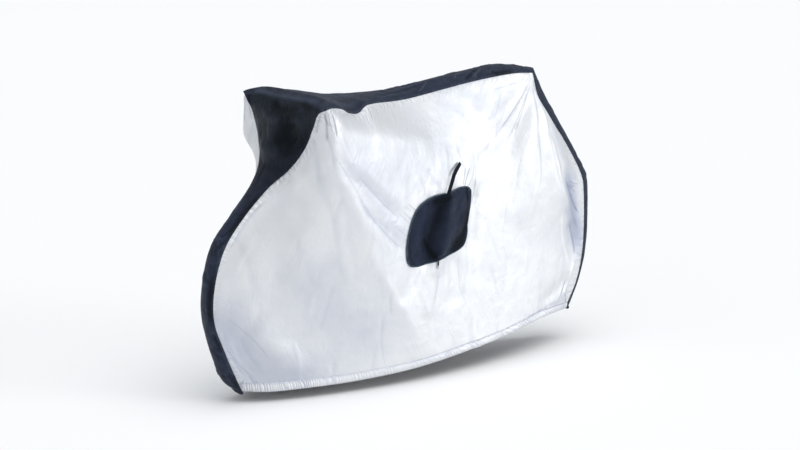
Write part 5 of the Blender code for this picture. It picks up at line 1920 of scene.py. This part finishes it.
# %% Stitch rows
STITCH_RINGS = ((-0.5, 0.0), (-0.34, 0.85), (0.0, 1.0), (0.34, 0.85), (0.5, 0.0))
STITCH_SIDES = 6
Stitch = namedtuple("Stitch", "pitch length width")
BAND_STITCH = Stitch(.0042, .0033, .0006)
HEM_STITCH = Stitch(.0050, .0038, .0007)
POCKET_STITCH = Stitch(.0036, .0028, .0006)
HEM_STITCH_GAP = 0.0022


def one_stitch():
    """The points and faces of a stitch one long and one wide, along X with its face up Z."""
    points = [(-0.5, 0.0, 0.0)]
    for along, wide in STITCH_RINGS[1:-1]:
        for m in range(STITCH_SIDES):
            angle = 2 * math.pi * m / STITCH_SIDES
            points.append((along, wide * math.cos(angle) / 2, wide * math.sin(angle) / 2))
    points.append((0.5, 0.0, 0.0))
    faces, n = [], STITCH_SIDES
    for m in range(n):
        after = (m + 1) % n
        faces.append((0, 1 + after, 1 + m))
        faces.append((len(points) - 1, 1 + 2 * n + m, 1 + 2 * n + after))
    quads = [(1 + r * n + m, 1 + r * n + (m + 1) % n, 1 + (r + 1) * n + (m + 1) % n, 1 + (r + 1) * n + m)
             for r in range(2) for m in range(n)]
    return np.array(points), faces, quads


def stitch_row(line, face_way, pitch, length, width, closed=False):
    """Stitches along a line of points: a list of point blocks."""
    if closed:
        line, face_way = np.concatenate([line, line[:1]]), np.concatenate([face_way, face_way[:1]])
    run = run_of(line)
    shape = one_stitch()[0]
    blocks = []
    for at in np.arange(pitch / 2, run[-1] - pitch / 2, pitch):
        ends = [read_along(at + d, run, line) for d in (-length / 2, length / 2)]
        up = unit(read_along(at, run, face_way))
        along = unit(ends[1] - ends[0])
        side = unit(np.cross(up, along))
        up = np.cross(along, side)
        local = shape * (length, width, width * 0.8)
        middle = (ends[0] + ends[1]) / 2 + up * width * 0.25
        blocks.append(middle + local @ np.stack([along, side, up]))
    return blocks


def stitches(name, blocks, material, slot):
    """One mesh of all the stitches in the blocks."""
    _, ends, sides = one_stitch()
    size = len(blocks[0])
    points = np.concatenate(blocks)
    faces = [tuple(i + k * size for i in face) for k in range(len(blocks)) for face in ends + sides]
    piece = mesh_piece(name, points, faces, material)
    piece.data.shade_smooth()
    return finished(piece, slot)


band_blocks = []
for side in "NF":
    band_blocks += stitch_row(*inside_seam(side, STITCH_INSET), *BAND_STITCH)
band_stitches = stitches("band_stitches", band_blocks, navy_thread, "dark_trim")

for name, panel_grid, outward in (("near_hem_stitches", NEAR_GRID, 1), ("far_hem_stitches", FAR_GRID, -1)):
    normal, reach = grid_normals(panel_grid, outward), lengths_along(panel_grid, 1)
    tall = np.interp(np.linspace(0.0, 1.0, len(reach)), (0.0, 1.0), CASING_HEIGHTS) + HEM_STITCH_GAP
    line, face = read_across(tall, reach, panel_grid), read_across(tall, reach, normal)
    stitches(name, stitch_row(line, face, *HEM_STITCH), silver_thread, "silver_cloth")

border = pocket_outline(-BORDER, 500)[0]
on_pocket = ray_tree(POCKET)
line, face = (np.array(values) for values in zip(*(struck(on_pocket, x, z) for x, z in border)))
pocket_stitches = stitches(
    "pocket_stitches", stitch_row(line, face, *POCKET_STITCH, closed=True), navy_thread, "dark_trim"
)
